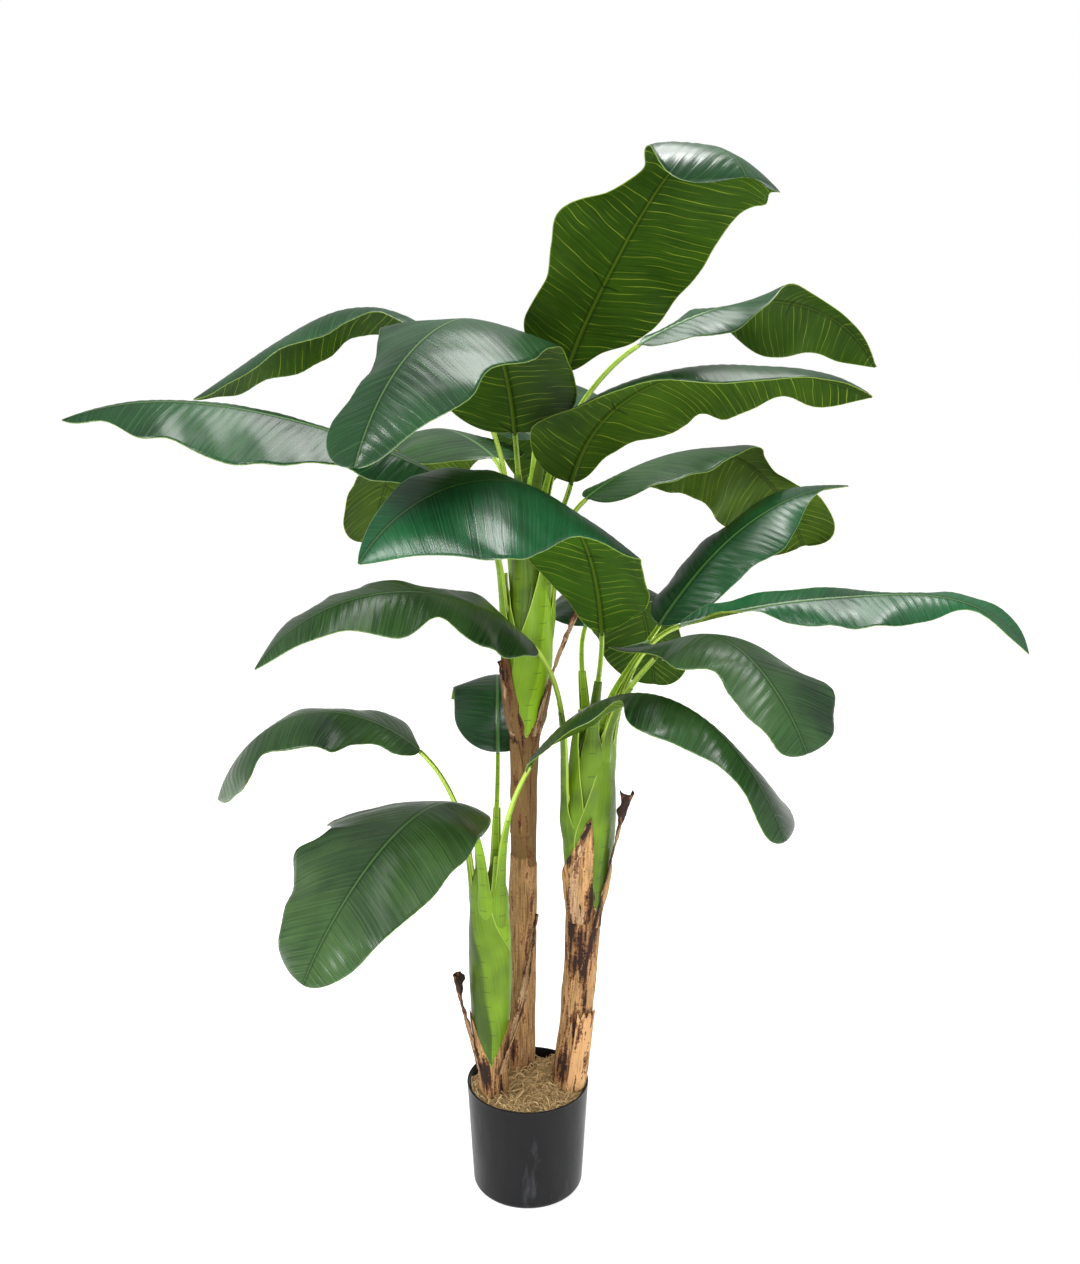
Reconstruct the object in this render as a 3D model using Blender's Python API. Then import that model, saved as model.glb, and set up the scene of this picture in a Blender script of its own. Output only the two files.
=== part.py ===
"""Artificial banana plant in a round planter pot: three stems and nineteen broad fronds.

Metres, +Z up. The origin is the centre of the pot's flat underside, and the plant faces -Y.
The tall stem stands at the back, the short one at the front left and the third one leans to the right.
Each frond is one solid, a stalk that runs on into a thin blade. Its named sizes are turned into
a rib that bends through its headings and rises, with a folded half blade on each side of it.
"""

from dataclasses import dataclass

import bmesh
import bpy
import numpy as np

# Pot and what fills it
POT_HEIGHT = 0.200
POT_RIM_RADIUS = 0.109
POT_BASE_RADIUS = 0.0985
POT_WALL = 0.003
POT_EDGE = 0.010
POT_FLOOR = 0.004
POT_SIDES = 40
FILL_TOP = 0.150
MOSS_EDGE = 0.180
MOSS_CROWN = 0.194
CLEAR = 0.0003
HOLE_CLEAR = 0.0006

# Fronds: points across a blade and stations along stalk and blade
ACROSS = np.linspace(-1.0, 1.0, 7)
STALK_STATIONS = (0.0, 0.25, 0.55, 0.82)
BLADE_STATIONS = (0.0, 0.04, 0.10, 0.19, 0.31, 0.44, 0.57, 0.70, 0.82, 0.92, 0.975, 0.996)
BLADE_THICK = 0.0070
MARGIN_THICK = 0.0032
STALK_HALF_WIDTHS = (0.0085, 0.0062, 0.0052, 0.0048)
STALK_HALF_THICKS = (0.0055, 0.0048, 0.0042, 0.0036)
BEND_STEPS = 32
RUN_STEPS = 240
RIPPLE_OFFSET = 0.31

# Outline of a blade: length of its rounded base, where it starts to narrow, and how it ends
POINTED = (0.22, 0.55, 1.9, 0.75)
BLUNT = (0.22, 0.66, 2.6, 0.52)

TRUNK_SIDES = 16
STEM_SIDES = 20
SHEATH_THICK = 0.0030
STRIP_THICK = 0.0030
SHEATH_ROWS = 9
SHEATH_COLUMNS = 7
STRIP_ROWS = 9
STRIP_COLUMNS = 5
SHARP_ANGLE = np.radians(40)


@dataclass
class Stem:
    """A stem as centre points (x, y, z), with the radius at each of its heights."""

    points: tuple
    brown_heights: tuple
    brown_radii: tuple
    green_heights: tuple
    green_radii: tuple


@dataclass
class Frond:
    """Angles in degrees: heading from +X towards +Y, rise above level, roll lifts the left half."""

    stem: str
    around: float
    height: float
    base: tuple
    length: float
    width: float
    heading: tuple
    rise: tuple
    roll: tuple = (0,)
    fold_left: tuple = (14, 20, 16)
    fold_right: tuple = (14, 20, 16)
    wide_left: tuple = (1,)
    wide_right: tuple = (1,)
    wave: float = 0.008
    waves: float = 2.5
    phase: float = 0.0
    shape: tuple = POINTED


@dataclass
class Sheath:
    """Part of a leaf base wrapped round its stem, from its foot up to its tip."""

    stem: str
    around: tuple
    foot: float
    tip: float
    half_angles: tuple
    lift: tuple
    colour: str = "green"


@dataclass
class Strip:
    """Dried sheath strip that has split off the stem and stands up from it."""

    stem: str
    around: float
    height: float
    heading: tuple
    rise: tuple
    length: float
    widths: tuple
    inset: float = 0.0
    cup: float = 40.0


STEMS = {
    "tall": Stem(
        points=((-0.015, 0.038, 0.150), (-0.009, 0.036, 0.500), (-0.003, 0.035, 0.850),
                (0.004, 0.035, 1.240)),
        brown_heights=(0.1503, 0.300, 0.600, 0.740, 0.836),
        brown_radii=(0.0260, 0.0245, 0.0228, 0.0220, 0.0245),
        green_heights=(0.8364, 0.900, 0.980, 1.060, 1.150, 1.205, 1.230),
        green_radii=(0.0240, 0.0330, 0.0390, 0.0340, 0.0270, 0.0190, 0.0120)),
    "right": Stem(
        points=((0.066, -0.010, 0.150), (0.081, -0.014, 0.280), (0.093, -0.018, 0.440),
                (0.102, -0.020, 0.610), (0.106, -0.020, 0.740), (0.110, -0.020, 0.900)),
        brown_heights=(0.1503, 0.200, 0.340, 0.440, 0.545),
        brown_radii=(0.0270, 0.0285, 0.0275, 0.0290, 0.0320),
        green_heights=(0.5454, 0.620, 0.720, 0.800, 0.860, 0.890),
        green_radii=(0.0315, 0.0370, 0.0390, 0.0320, 0.0240, 0.0150)),
    "short": Stem(
        points=((-0.056, -0.033, 0.150), (-0.062, -0.035, 0.260), (-0.063, -0.035, 0.450),
                (-0.062, -0.035, 0.630)),
        brown_heights=(0.1503, 0.200, 0.250),
        brown_radii=(0.0275, 0.0270, 0.0250),
        green_heights=(0.2504, 0.320, 0.440, 0.540, 0.600, 0.625),
        green_radii=(0.0240, 0.0280, 0.0310, 0.0270, 0.0210, 0.0140)),
}

FRONDS = {
    "frond_tall_top": Frond(
        stem="tall", around=-75, height=1.200, base=(0.064, -0.020, 1.455), length=0.54, width=0.24,
        heading=(-60, -56, -56, -56, -44), rise=(56, 50, 45, 24, -64), roll=(-30, -30, -24, 6),
        wide_left=(0.45, 0.95, 0.92, 1, 1.7), wide_right=(0.85, 0.85, 0.66, 0.45, 0.5), shape=BLUNT),
    "frond_tall_front": Frond(
        stem="tall", around=-122, height=1.200, base=(-0.018, -0.020, 1.358), length=0.68, width=0.24,
        heading=(-97, -103, -119, -119), rise=(60, 24, -24, -64),
        wide_left=(0.85, 1, 0.95, 0.75), wide_right=(1, 1, 0.75, 0.75), shape=BLUNT),
    "frond_tall_left_high": Frond(
        stem="tall", around=190, height=1.190, base=(-0.065, 0.030, 1.390), length=0.585, width=0.22,
        heading=(165, 178, 190, 191), rise=(66, 25, -26, -52), roll=(0, 15, 15, 10), fold_left=(26, 30, 22),
        wide_left=(0.4, 0.45, 0.8, 0.9), wide_right=(0.4, 0.5, 1, 1.1)),
    "frond_tall_left": Frond(
        stem="tall", around=205, height=1.040, base=(-0.130, -0.120, 1.300), length=0.57, width=0.20,
        heading=(-160, -167, -172, -176), rise=(28, 18, 5, -20), roll=(-25,),
        fold_left=(10, 14, 12), fold_right=(35, 40, 40), wide_left=(0.6, 0.85, 1, 1)),
    "frond_tall_back_left": Frond(
        stem="tall", around=145, height=1.185, base=(-0.055, 0.070, 1.310), length=0.57, width=0.23,
        heading=(122, 124, 126, 130), rise=(20, -2, -42, -70), wide_left=(1, 0.95, 0.85), shape=BLUNT),
    "frond_tall_right_high": Frond(
        stem="tall", around=35, height=1.195, base=(0.190, 0.120, 1.495), length=0.55, width=0.21,
        heading=(29, 27, 24, 24), rise=(26, 10, -16, -56), roll=(15, 22, -40, -56, -50),
        fold_left=(6, 6, 16, 16), fold_right=(14, 22, 28, 28),
        wide_left=(0.5, 0.8, 0.95, 0.95), wide_right=(0.5, 0.6, 0.75, 0.45)),
    "frond_tall_right": Frond(
        stem="tall", around=-38, height=1.120, base=(0.072, -0.030, 1.280), length=0.57, width=0.23,
        heading=(-58, -42, -14, 0), rise=(65, 30, 0, -24), roll=(-20, -28, -38), fold_right=(0, 35, 36),
        wide_left=(0.45, 0.68, 0.85, 0.7), wide_right=(0.85, 1.05, 1)),
    "frond_tall_back": Frond(
        stem="tall", around=90, height=1.195, base=(0.014, 0.120, 1.335), length=0.56, width=0.23,
        heading=(86, 88, 93, 97), rise=(50, 10, -52, -74)),
    "frond_tall_back_right": Frond(
        stem="tall", around=8, height=1.060, base=(0.100, 0.085, 1.240), length=0.62, width=0.22,
        heading=(26, 34, 41, 41), rise=(27, -2, -26, -62), roll=(5, -28, -48, -44),
        fold_right=(10, 32, 34, 34), wide_right=(1, 0.9, 0.8, 0.8), shape=BLUNT),
    "frond_right_front": Frond(
        stem="right", around=-90, height=0.850, base=(0.120, -0.100, 1.050), length=0.63, width=0.25,
        heading=(-98, -120, -144, -152), rise=(62, 40, -4, -38), roll=(0, -6, -16, -20),
        fold_right=(14, 8, 5), wide_left=(0.4, 0.8, 0.95, 0.7), wide_right=(0.75, 1, 0.9, 0.6)),
    "frond_right_raised": Frond(
        stem="right", around=52, height=0.850, base=(0.228, 0.074, 1.024), length=0.435, width=0.19,
        heading=(32, 24, 14, 6), rise=(50, 42, 27, 2), roll=(20,), fold_left=(25, 30, 30),
        wide_left=(0.6, 0.9, 0.8), wide_right=(0.5, 0.9, 0.5)),
    "frond_right_long": Frond(
        stem="right", around=8, height=0.830, base=(0.255, -0.004, 1.040), length=0.605, width=0.20,
        heading=(3, -3, -8, -8), rise=(16, 7, -3, -58), roll=(20,),
        fold_left=(30, 38, 24), fold_right=(14, 20, 8),
        wide_left=(0.3, 0.7, 0.9, 0.9), wide_right=(0.1, 0.35, 0.8, 0.55, 0.6)),
    "frond_right_drooping": Frond(
        stem="right", around=-38, height=0.850, base=(0.208, -0.080, 1.006), length=0.425, width=0.22,
        heading=(-68, -61, -52, -48), rise=(32, 12, -34, -62), fold_left=(25, 20, 0),
        wide_left=(1, 0.95, 0.75, 0.9), wide_right=(1.2, 0.9, 0.8), shape=BLUNT),
    "frond_right_back": Frond(
        stem="right", around=105, height=0.850, base=(0.100, 0.075, 1.020), length=0.52, width=0.22,
        heading=(70, 68, 72, 88), rise=(36, 2, -40, -66), wide_right=(0.5, 0.75, 1), shape=BLUNT),
    "frond_right_reaching_left": Frond(
        stem="right", around=205, height=0.720, base=(0.010, -0.120, 1.038), length=0.505, width=0.19,
        heading=(-140, -151, -163, -174), rise=(44, 19, -15, -56), roll=(-14,),
        wide_left=(0.6, 0.6, 0.65, 0.5), wide_right=(1, 1.15, 1.1)),
    "frond_short_right": Frond(
        stem="short", around=-54, height=0.590, base=(0.027, -0.122, 0.845), length=0.55, width=0.19,
        heading=(-30, -37, -39, -39), rise=(58, 14, -35, -62), roll=(5, 0, -5),
        fold_left=(10,), fold_right=(10, 14, 10), wide_left=(0.7, 0.4, 0.8, 1.5),
        wide_right=(1, 1.1, 0.7, 0.75), shape=BLUNT),
    "frond_short_front": Frond(
        stem="short", around=-108, height=0.580, base=(-0.104, -0.130, 0.771), length=0.49, width=0.22,
        heading=(-106, -114, -125, -138), rise=(30, 0, -34, -62),
        wide_left=(0.85, 1, 0.95, 0.85), wide_right=(1, 1.15, 1.1), shape=BLUNT),
    "frond_short_left": Frond(
        stem="short", around=180, height=0.580, base=(-0.179, -0.030, 0.831), length=0.42, width=0.18,
        heading=(190, 190, 191, 193), rise=(45, 14, -34, -74), roll=(-14, -5, 5, 5),
        wide_left=(0.7, 0.85, 1, 1.2), shape=BLUNT),
    "frond_short_back": Frond(
        stem="short", around=75, height=0.600, base=(-0.052, 0.068, 0.795), length=0.50, width=0.19,
        heading=(92, 92, 93, 97), rise=(62, 8, -40, -50)),
}

SHEATHS = {
    "sheath_tall_front": Sheath(
        "tall", (-95, -60), 0.860, 1.075, (22, 58, 56, 34, 12), (0.0006, 0.0030, 0.0060)),
    "sheath_tall_left": Sheath(
        "tall", (140, 175), 0.880, 1.010, (20, 42, 38, 22), (0.0006, 0.0020, 0.0045)),
    "sheath_right_left": Sheath(
        "right", (186, 184), 0.565, 0.695, (24, 42, 38, 22), (0.0006, 0.0020, 0.0045)),
    "sheath_right_front": Sheath(
        "right", (-40, -58), 0.565, 0.800, (24, 50, 46, 30, 12), (0.0006, 0.0020, 0.0050)),
    "sheath_short_left": Sheath(
        "short", (192, 188), 0.300, 0.550, (20, 44, 44, 34, 18), (0.0006, 0.0020, 0.0045)),
    "sheath_short_front": Sheath(
        "short", (-78, -45), 0.270, 0.560, (14, 42, 50, 40, 16), (0.0006, 0.0020, 0.0050)),
    "dry_wrap_right": Sheath(
        "right", (-75, -75), 0.198, 0.350, (46, 50, 46, 40), (0.0008, 0.0014, 0.0022), "dry"),
    "dry_wrap_tall": Sheath(
        "tall", (-115, -140), 0.660, 0.830, (60, 55, 40, 24), (0.0008, 0.0012, 0.0020), "dry"),
}

STRIPS = {
    "dry_strip_tall_left": Strip(
        "tall", 215, 0.842, (215, 200), (80, 78), 0.135, (0.010, 0.009, 0.004)),
    "dry_strip_tall_right": Strip(
        "tall", -45, 0.842, (-45, -25, -20), (78, 70, 66), 0.240, (0.012, 0.010, 0.007, 0.005)),
    "dry_strip_right_front": Strip(
        "right", -113, 0.526, (-113, -60, -10), (84, 80, 70), 0.195, (0.016, 0.014, 0.007, 0.003),
        inset=0.0010),
    "dry_strip_right_long": Strip(
        "right", -45, 0.516, (-45, -15, -40), (82, 77, 74), 0.255, (0.009, 0.006, 0.005, 0.006)),
    "dry_strip_short_left": Strip(
        "short", 200, 0.246, (200, 205, 190), (80, 76, 80), 0.195, (0.014, 0.009, 0.005, 0.008),
        inset=0.0010),
    "dry_strip_short_right": Strip(
        "short", -49, 0.246, (-40, 45, 40), (78, 72, 80), 0.295, (0.014, 0.010, 0.007, 0.004)),
}

COLOURS = {
    "pot": ((0.012, 0.013, 0.015), 0.42),
    "weight": ((0.32, 0.31, 0.29), 0.90),
    "moss": ((0.30, 0.19, 0.08), 0.95),
    "brown": ((0.23, 0.13, 0.06), 0.85),
    "dry": ((0.36, 0.22, 0.11), 0.85),
    "green": ((0.22, 0.40, 0.05), 0.45),
    "leaf": ((0.016, 0.075, 0.028), 0.42),
}


def through(knots, values, at):
    """Cubic through the values at their knots, each slope taken from the neighbours."""
    knots = np.asarray(knots, float)
    values = np.asarray(values, float)
    slope = np.gradient(values, knots)
    i = np.clip(np.searchsorted(knots, at, side="right") - 1, 0, len(knots) - 2)
    span = knots[i + 1] - knots[i]
    f = np.clip((np.asarray(at, float) - knots[i]) / span, 0.0, 1.0)
    return (values[i] * (1 + 2 * f) * (1 - f) ** 2 + slope[i] * span * f * (1 - f) ** 2
            + values[i + 1] * f * f * (3 - 2 * f) + slope[i + 1] * span * f * f * (f - 1))


def spread(values, at):
    """The values stand evenly along 0 to 1; a single value holds throughout."""
    if len(values) == 1:
        return np.full(np.shape(at), float(values[0]))
    return through(np.linspace(0.0, 1.0, len(values)), values, at)


def direction(heading, rise):
    """Unit vectors of the run: (cos e cos a, cos e sin a, sin e)."""
    a, e = np.radians(heading), np.radians(rise)
    return np.stack([np.cos(e) * np.cos(a), np.cos(e) * np.sin(a), np.sin(e)], axis=-1)


def sides(heading, rise, roll):
    """Left and up of each direction, turned by the roll about the run."""
    a, e, r = np.radians(heading), np.radians(rise), np.radians(roll)
    left = np.stack([-np.sin(a), np.cos(a), np.zeros_like(a)], axis=-1)
    up = np.stack([-np.sin(e) * np.cos(a), -np.sin(e) * np.sin(a), np.cos(e)], axis=-1)
    c, s = np.cos(r)[..., None], np.sin(r)[..., None]
    return c * left + s * up, c * up - s * left


def run_from(start, heading, rise, length, at):
    """Points along a path that starts at start and follows the headings and rises."""
    fine = np.linspace(0.0, 1.0, RUN_STEPS + 1)
    step = direction(spread(heading, fine), spread(rise, fine)) * length / RUN_STEPS
    path = np.vstack([np.zeros(3), np.cumsum((step[1:] + step[:-1]) / 2, axis=0)])
    return np.asarray(start) + np.stack([np.interp(at, fine, path[:, k]) for k in range(3)], axis=-1)


def stem_centre(stem, z):
    points = np.asarray(stem.points)
    return np.array([through(points[:, 2], points[:, 0], z), through(points[:, 2], points[:, 1], z), z])


def brown_radius(stem, z):
    return float(through(stem.brown_heights, stem.brown_radii, z))


def green_radius(stem, z):
    return float(through(stem.green_heights, stem.green_radii, z))


def outline(s, shape):
    """Half width as a share: a quarter-ellipse base, full, then narrowing as (1 - x^p)^q."""
    round_base, narrow_from, power, blunt = shape
    base = np.sqrt(np.clip(1 - (1 - np.clip(s / round_base, 0, 1)) ** 2.2, 0, 1))
    x = np.clip((s - narrow_from) / (1 - narrow_from), 0, 1)
    return base * np.clip(1 - x ** power, 0, 1) ** blunt


def half_blade(fold, reach):
    """How far out and down a half blade has got at its reach 0 to 1, and its bend there in radians.

    The bend at r is fold * (0.35 + 1.3 r), and the two distances are the integrals of its cosine
    and sine.
    """
    def bend_at(r):
        return np.radians(fold * (0.35 + 1.3 * r))

    bend = bend_at((np.arange(BEND_STEPS) + 0.5) / BEND_STEPS * reach)
    return np.cos(bend).mean(axis=-1) * reach, np.sin(bend).mean(axis=-1) * reach, bend_at(reach)


def blade_grid(f, s, across):
    """Middle surface of a blade and its upward normals: a row for each station, a column across."""
    rib = run_from(f.base, f.heading, f.rise, f.length, s)
    left, up = sides(spread(f.heading, s), spread(f.rise, s), spread(f.roll, s))
    grid = np.empty((len(s), len(across), 3))
    normals = np.empty_like(grid)
    for j, v in enumerate(across):
        on_left = v > 0
        fold = spread(f.fold_left if on_left else f.fold_right, s)[:, None]
        wide = spread(f.wide_left if on_left else f.wide_right, s)
        half = np.maximum(f.width / 2 * outline(s, f.shape) * wide, STALK_HALF_WIDTHS[-1])
        out, down, bend = half_blade(fold, abs(v))
        turn = 2 * np.pi * (f.waves * s + f.phase + (RIPPLE_OFFSET if on_left else 0.0))
        ripple = f.wave * abs(v) ** 1.6 * np.sin(turn) * outline(s, f.shape)
        side = 1.0 if on_left else -1.0
        grid[:, j] = rib + side * left * (out * half)[:, None] + up * (ripple - down * half)[:, None]
        normals[:, j] = up * np.cos(bend) + side * left * np.sin(bend) if v else up
    return grid, normals


def grid_normals(grid):
    """Unit normals of a grid of points, towards its upper side."""
    along = np.gradient(grid, axis=0)
    across = np.gradient(grid, axis=1)
    normal = np.cross(along, across)
    return normal / np.linalg.norm(normal, axis=-1, keepdims=True)


def thick_rings(grid, normals, thick):
    """Rings round a sheet: its upper row of points, then its lower row turned back."""
    shift = normals * thick[..., None] / 2
    return np.concatenate([grid + shift, (grid - shift)[:, ::-1]], axis=1)


def stalk_start(f):
    stem = STEMS[f.stem]
    radius = green_radius(stem, f.height) + STALK_HALF_THICKS[0] + CLEAR / 2
    return stem_centre(stem, f.height) + radius * direction(f.around, 0.0)


def stalk_rings(f):
    """Oval rings along a cubic from the stem, straight up, into the blade's own direction."""
    a, b = stalk_start(f), np.asarray(f.base)
    u = np.asarray(STALK_STATIONS)[:, None]
    run = np.linalg.norm(b - a)
    first = run * np.array([0.0, 0.0, 1.0])
    last = run * direction(f.heading[0], f.rise[0])
    points = ((2 * u ** 3 - 3 * u ** 2 + 1) * a + (u ** 3 - 2 * u ** 2 + u) * first
              + (3 * u ** 2 - 2 * u ** 3) * b + (u ** 3 - u ** 2) * last)
    tangent = ((6 * u ** 2 - 6 * u) * a + (3 * u ** 2 - 4 * u + 1) * first
               + (6 * u - 6 * u ** 2) * b + (3 * u ** 2 - 2 * u) * last)
    tangent /= np.linalg.norm(tangent, axis=1, keepdims=True)
    turn = np.radians([f.around, f.heading[0]])
    at_stem, at_blade = np.stack([-np.sin(turn), np.cos(turn), np.zeros(2)], axis=-1)
    left = (1 - u) * at_stem + u * at_blade
    left = left - tangent * (tangent * left).sum(axis=1, keepdims=True)
    left /= np.linalg.norm(left, axis=1, keepdims=True)
    up = np.cross(tangent, left)
    roll = np.radians(f.roll[0]) * u
    left, up = np.cos(roll) * left + np.sin(roll) * up, np.cos(roll) * up - np.sin(roll) * left
    wide = np.asarray(STALK_HALF_WIDTHS)[:, None, None]
    deep = np.asarray(STALK_HALF_THICKS)[:, None, None]
    turn = np.pi * (np.arange(len(ACROSS)) + 0.5) / len(ACROSS)
    turn = np.concatenate([np.pi - turn, -turn])[None, :, None]
    return points[:, None] + np.cos(turn) * wide * left[:, None] + np.sin(turn) * deep * up[:, None]


def frond_rings(f):
    s = np.asarray(BLADE_STATIONS)
    grid, normals = blade_grid(f, s, ACROSS)
    thick = BLADE_THICK - (BLADE_THICK - MARGIN_THICK) * np.abs(ACROSS) ** 1.5
    thick = np.broadcast_to(thick, grid.shape[:2])
    return np.concatenate([stalk_rings(f), thick_rings(grid, normals, thick)])


def sheath_rings(sheath):
    """A curved plate round the stem: narrow at its foot, wide in its middle, pointed at its tip."""
    stem = STEMS[sheath.stem]
    sweep = np.linspace(1, -1, SHEATH_COLUMNS)
    rows = []
    for share in np.linspace(0.0, 1.0, SHEATH_ROWS):
        z = sheath.foot + (sheath.tip - sheath.foot) * share
        core = green_radius(stem, z) if z > stem.green_heights[0] else brown_radius(stem, z)
        radius = core + spread(sheath.lift, share) + SHEATH_THICK / 2
        turn = np.radians(spread(sheath.around, share) + spread(sheath.half_angles, share) * sweep)
        outward = np.stack([np.cos(turn), np.sin(turn), np.zeros_like(turn)], axis=-1)
        rows.append(stem_centre(stem, z) + radius * outward)
    grid = np.array(rows)
    thick = np.full(grid.shape[:2], SHEATH_THICK)
    thick[:, [0, -1]] = SHEATH_THICK / 2
    return thick_rings(grid, grid_normals(grid), thick)


def strip_rings(strip):
    """A narrow plate along its path, cupped by an arc of 2 cup whose edges touch the stem at its foot."""
    s = np.linspace(0.0, 1.0, STRIP_ROWS)
    stem = STEMS[strip.stem]
    cup = np.radians(strip.cup)
    radius = brown_radius(stem, strip.height) + strip.widths[0] / 2 * (1 - np.cos(cup)) - strip.inset
    foot = stem_centre(stem, strip.height) + (radius + STRIP_THICK / 2 + CLEAR) * direction(strip.around, 0.0)
    path = run_from(foot, strip.heading, strip.rise, strip.length, s)
    left, up = sides(spread(strip.heading, s), spread(strip.rise, s), np.zeros(len(s)))
    half = spread(strip.widths, s)[:, None] / 2
    grid = np.stack([path + left * half * np.sin(t) / np.sin(cup) + up * half * (1 - np.cos(t))
                     for t in cup * np.linspace(-1, 1, STRIP_COLUMNS)], axis=1)
    return thick_rings(grid, grid_normals(grid), np.full(grid.shape[:2], STRIP_THICK))


def material(name):
    found = bpy.data.materials.get(name)
    if found:
        return found
    colour, roughness = COLOURS[name]
    made = bpy.data.materials.new(name)
    made.use_nodes = True
    surface = made.node_tree.nodes["Principled BSDF"]
    surface.inputs["Base Color"].default_value = (*colour, 1.0)
    surface.inputs["Roughness"].default_value = roughness
    surface.inputs["Metallic"].default_value = 0.0
    made.diffuse_color = (*colour, 1.0)
    return made


def add_object(name, vertices, faces, look):
    mesh = bpy.data.meshes.new(name)
    mesh.from_pydata([tuple(v) for v in vertices], [], faces)
    work = bmesh.new()
    work.from_mesh(mesh)
    bmesh.ops.recalc_face_normals(work, faces=work.faces)
    work.to_mesh(mesh)
    work.free()
    mesh.shade_smooth()
    mesh.set_sharp_from_angle(angle=SHARP_ANGLE)
    mesh.materials.append(material(look))
    made = bpy.data.objects.new(name, mesh)
    bpy.context.scene.collection.objects.link(made)
    return made


def ring_faces(count, size):
    """Quads between each ring and the next one."""
    faces = []
    for k in range(count - 1):
        for j in range(size):
            n = (j + 1) % size
            faces.append((k * size + j, k * size + n, (k + 1) * size + n, (k + 1) * size + j))
    return faces


def sheet_faces(count, size):
    """Triangles between the rings of a thick sheet, split alike on its upper and its lower side."""
    faces = []
    for a, b, c, d in ring_faces(count, size):
        if a % size < size // 2:
            faces += [(a, b, c), (a, c, d)]
        else:
            faces += [(a, b, d), (b, c, d)]
    return faces


def sheet_caps(count, size):
    """Quads that close the first and the last ring of a thick sheet, from its upper to its lower row."""
    faces = []
    for first in (0, (count - 1) * size):
        for j in range(size // 2 - 1):
            faces.append((first + j, first + j + 1, first + size - 2 - j, first + size - 1 - j))
    return faces


def add_sheet(name, rings, look):
    count, size = rings.shape[:2]
    return add_object(name, rings.reshape(-1, 3), sheet_faces(count, size) + sheet_caps(count, size), look)


def circle(centre, radius, count):
    turn = np.arange(count) * 2 * np.pi / count
    return np.asarray(centre) + radius * np.stack([np.cos(turn), np.sin(turn), np.zeros(count)], axis=-1)


def add_rings(name, rings, look):
    """Skin over a stack of round rings, with a flat face on the first and the last one."""
    count, size = rings.shape[:2]
    ends = [tuple(range(size)), tuple(range((count - 1) * size, count * size))]
    return add_object(name, rings.reshape(-1, 3), ring_faces(count, size) + ends, look)


def add_lathe(name, profile, count, look):
    """Turn a profile of (radius, height) about the pot's axis."""
    return add_rings(name, np.array([circle((0, 0, z), r, count) for r, z in profile]), look)


def limb_levels(heights, extra=()):
    """The named heights, one more half way between each two of them, and any extra ones."""
    between = (np.asarray(heights[1:]) + np.asarray(heights[:-1])) / 2
    return sorted([*heights, *between, *extra])


def add_limb(name, stem, levels, radius_at, count, look):
    """Round limb along a stem's centre line; its flat ends are level."""
    rings = [circle(stem_centre(stem, z), radius_at(z), count) for z in levels]
    return add_rings(name, np.array(rings), look)


def pot_radius(z):
    """Outer radius of the pot's straight wall at a height."""
    return POT_BASE_RADIUS + (POT_RIM_RADIUS - POT_BASE_RADIUS) * z / POT_HEIGHT


def build_pot():
    edge = [(pot_radius(POT_EDGE) - POT_EDGE * (1 - np.sin(t)), POT_EDGE * (1 - np.cos(t)))
            for t in np.radians((0, 30, 60, 90))]
    profile = edge + [
        (POT_RIM_RADIUS, POT_HEIGHT), (POT_RIM_RADIUS - POT_WALL, POT_HEIGHT),
        (pot_radius(2 * POT_EDGE) - POT_WALL, 2 * POT_EDGE), (pot_radius(0) - POT_EDGE, POT_FLOOR)]
    add_lathe("pot", profile, POT_SIDES, "pot")


def build_fill():
    low = 2 * POT_EDGE
    profile = [
        (pot_radius(0) - POT_EDGE - 2 * CLEAR, POT_FLOOR + CLEAR), (pot_radius(low) - POT_WALL - CLEAR, low),
        (pot_radius(FILL_TOP) - POT_WALL - CLEAR, FILL_TOP)]
    add_lathe("pot_fill", profile, POT_SIDES, "weight")


def build_moss():
    """Mound with a hole round each trunk."""
    low = FILL_TOP + CLEAR
    rim = pot_radius(MOSS_EDGE) - POT_WALL - CLEAR
    rise = MOSS_CROWN - MOSS_EDGE
    profile = [(pot_radius(low) - POT_WALL - CLEAR, low), (rim, MOSS_EDGE)]
    profile += [(rim * np.cos(t), MOSS_EDGE + rise * np.sin(t)) for t in np.radians((30, 60, 80))]
    moss = add_lathe("moss", profile, POT_SIDES, "moss")
    cutters = []
    for name, stem in STEMS.items():
        levels = limb_levels(stem.brown_heights, extra=(FILL_TOP - POT_EDGE,))
        cutter = add_limb("cut_" + name, stem, levels, lambda z: brown_radius(stem, z) + HOLE_CLEAR,
                          TRUNK_SIDES, "moss")
        cutter.hide_render = True
        cutter.display_type = "WIRE"
        cutters.append(cutter)
        cut = moss.modifiers.new("hole for " + name, "BOOLEAN")
        cut.operation = "DIFFERENCE"
        cut.solver = "EXACT"
        cut.object = cutter


def build_stems():
    for name, stem in STEMS.items():
        add_limb("trunk_" + name, stem, limb_levels(stem.brown_heights),
                 lambda z: brown_radius(stem, z), TRUNK_SIDES, "brown")
        add_limb("pseudostem_" + name, stem, limb_levels(stem.green_heights),
                 lambda z: green_radius(stem, z), STEM_SIDES, "green")


def build_leaf_bases():
    for name, sheath in SHEATHS.items():
        add_sheet(name, sheath_rings(sheath), sheath.colour)
    for name, strip in STRIPS.items():
        add_sheet(name, strip_rings(strip), "dry")


def build_fronds():
    for name, frond in FRONDS.items():
        add_sheet(name, frond_rings(frond), "leaf")


def main():
    for old in list(bpy.data.objects):
        bpy.data.objects.remove(old, do_unlink=True)
    build_pot()
    build_fill()
    build_moss()
    build_stems()
    build_leaf_bases()
    build_fronds()


main()
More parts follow.
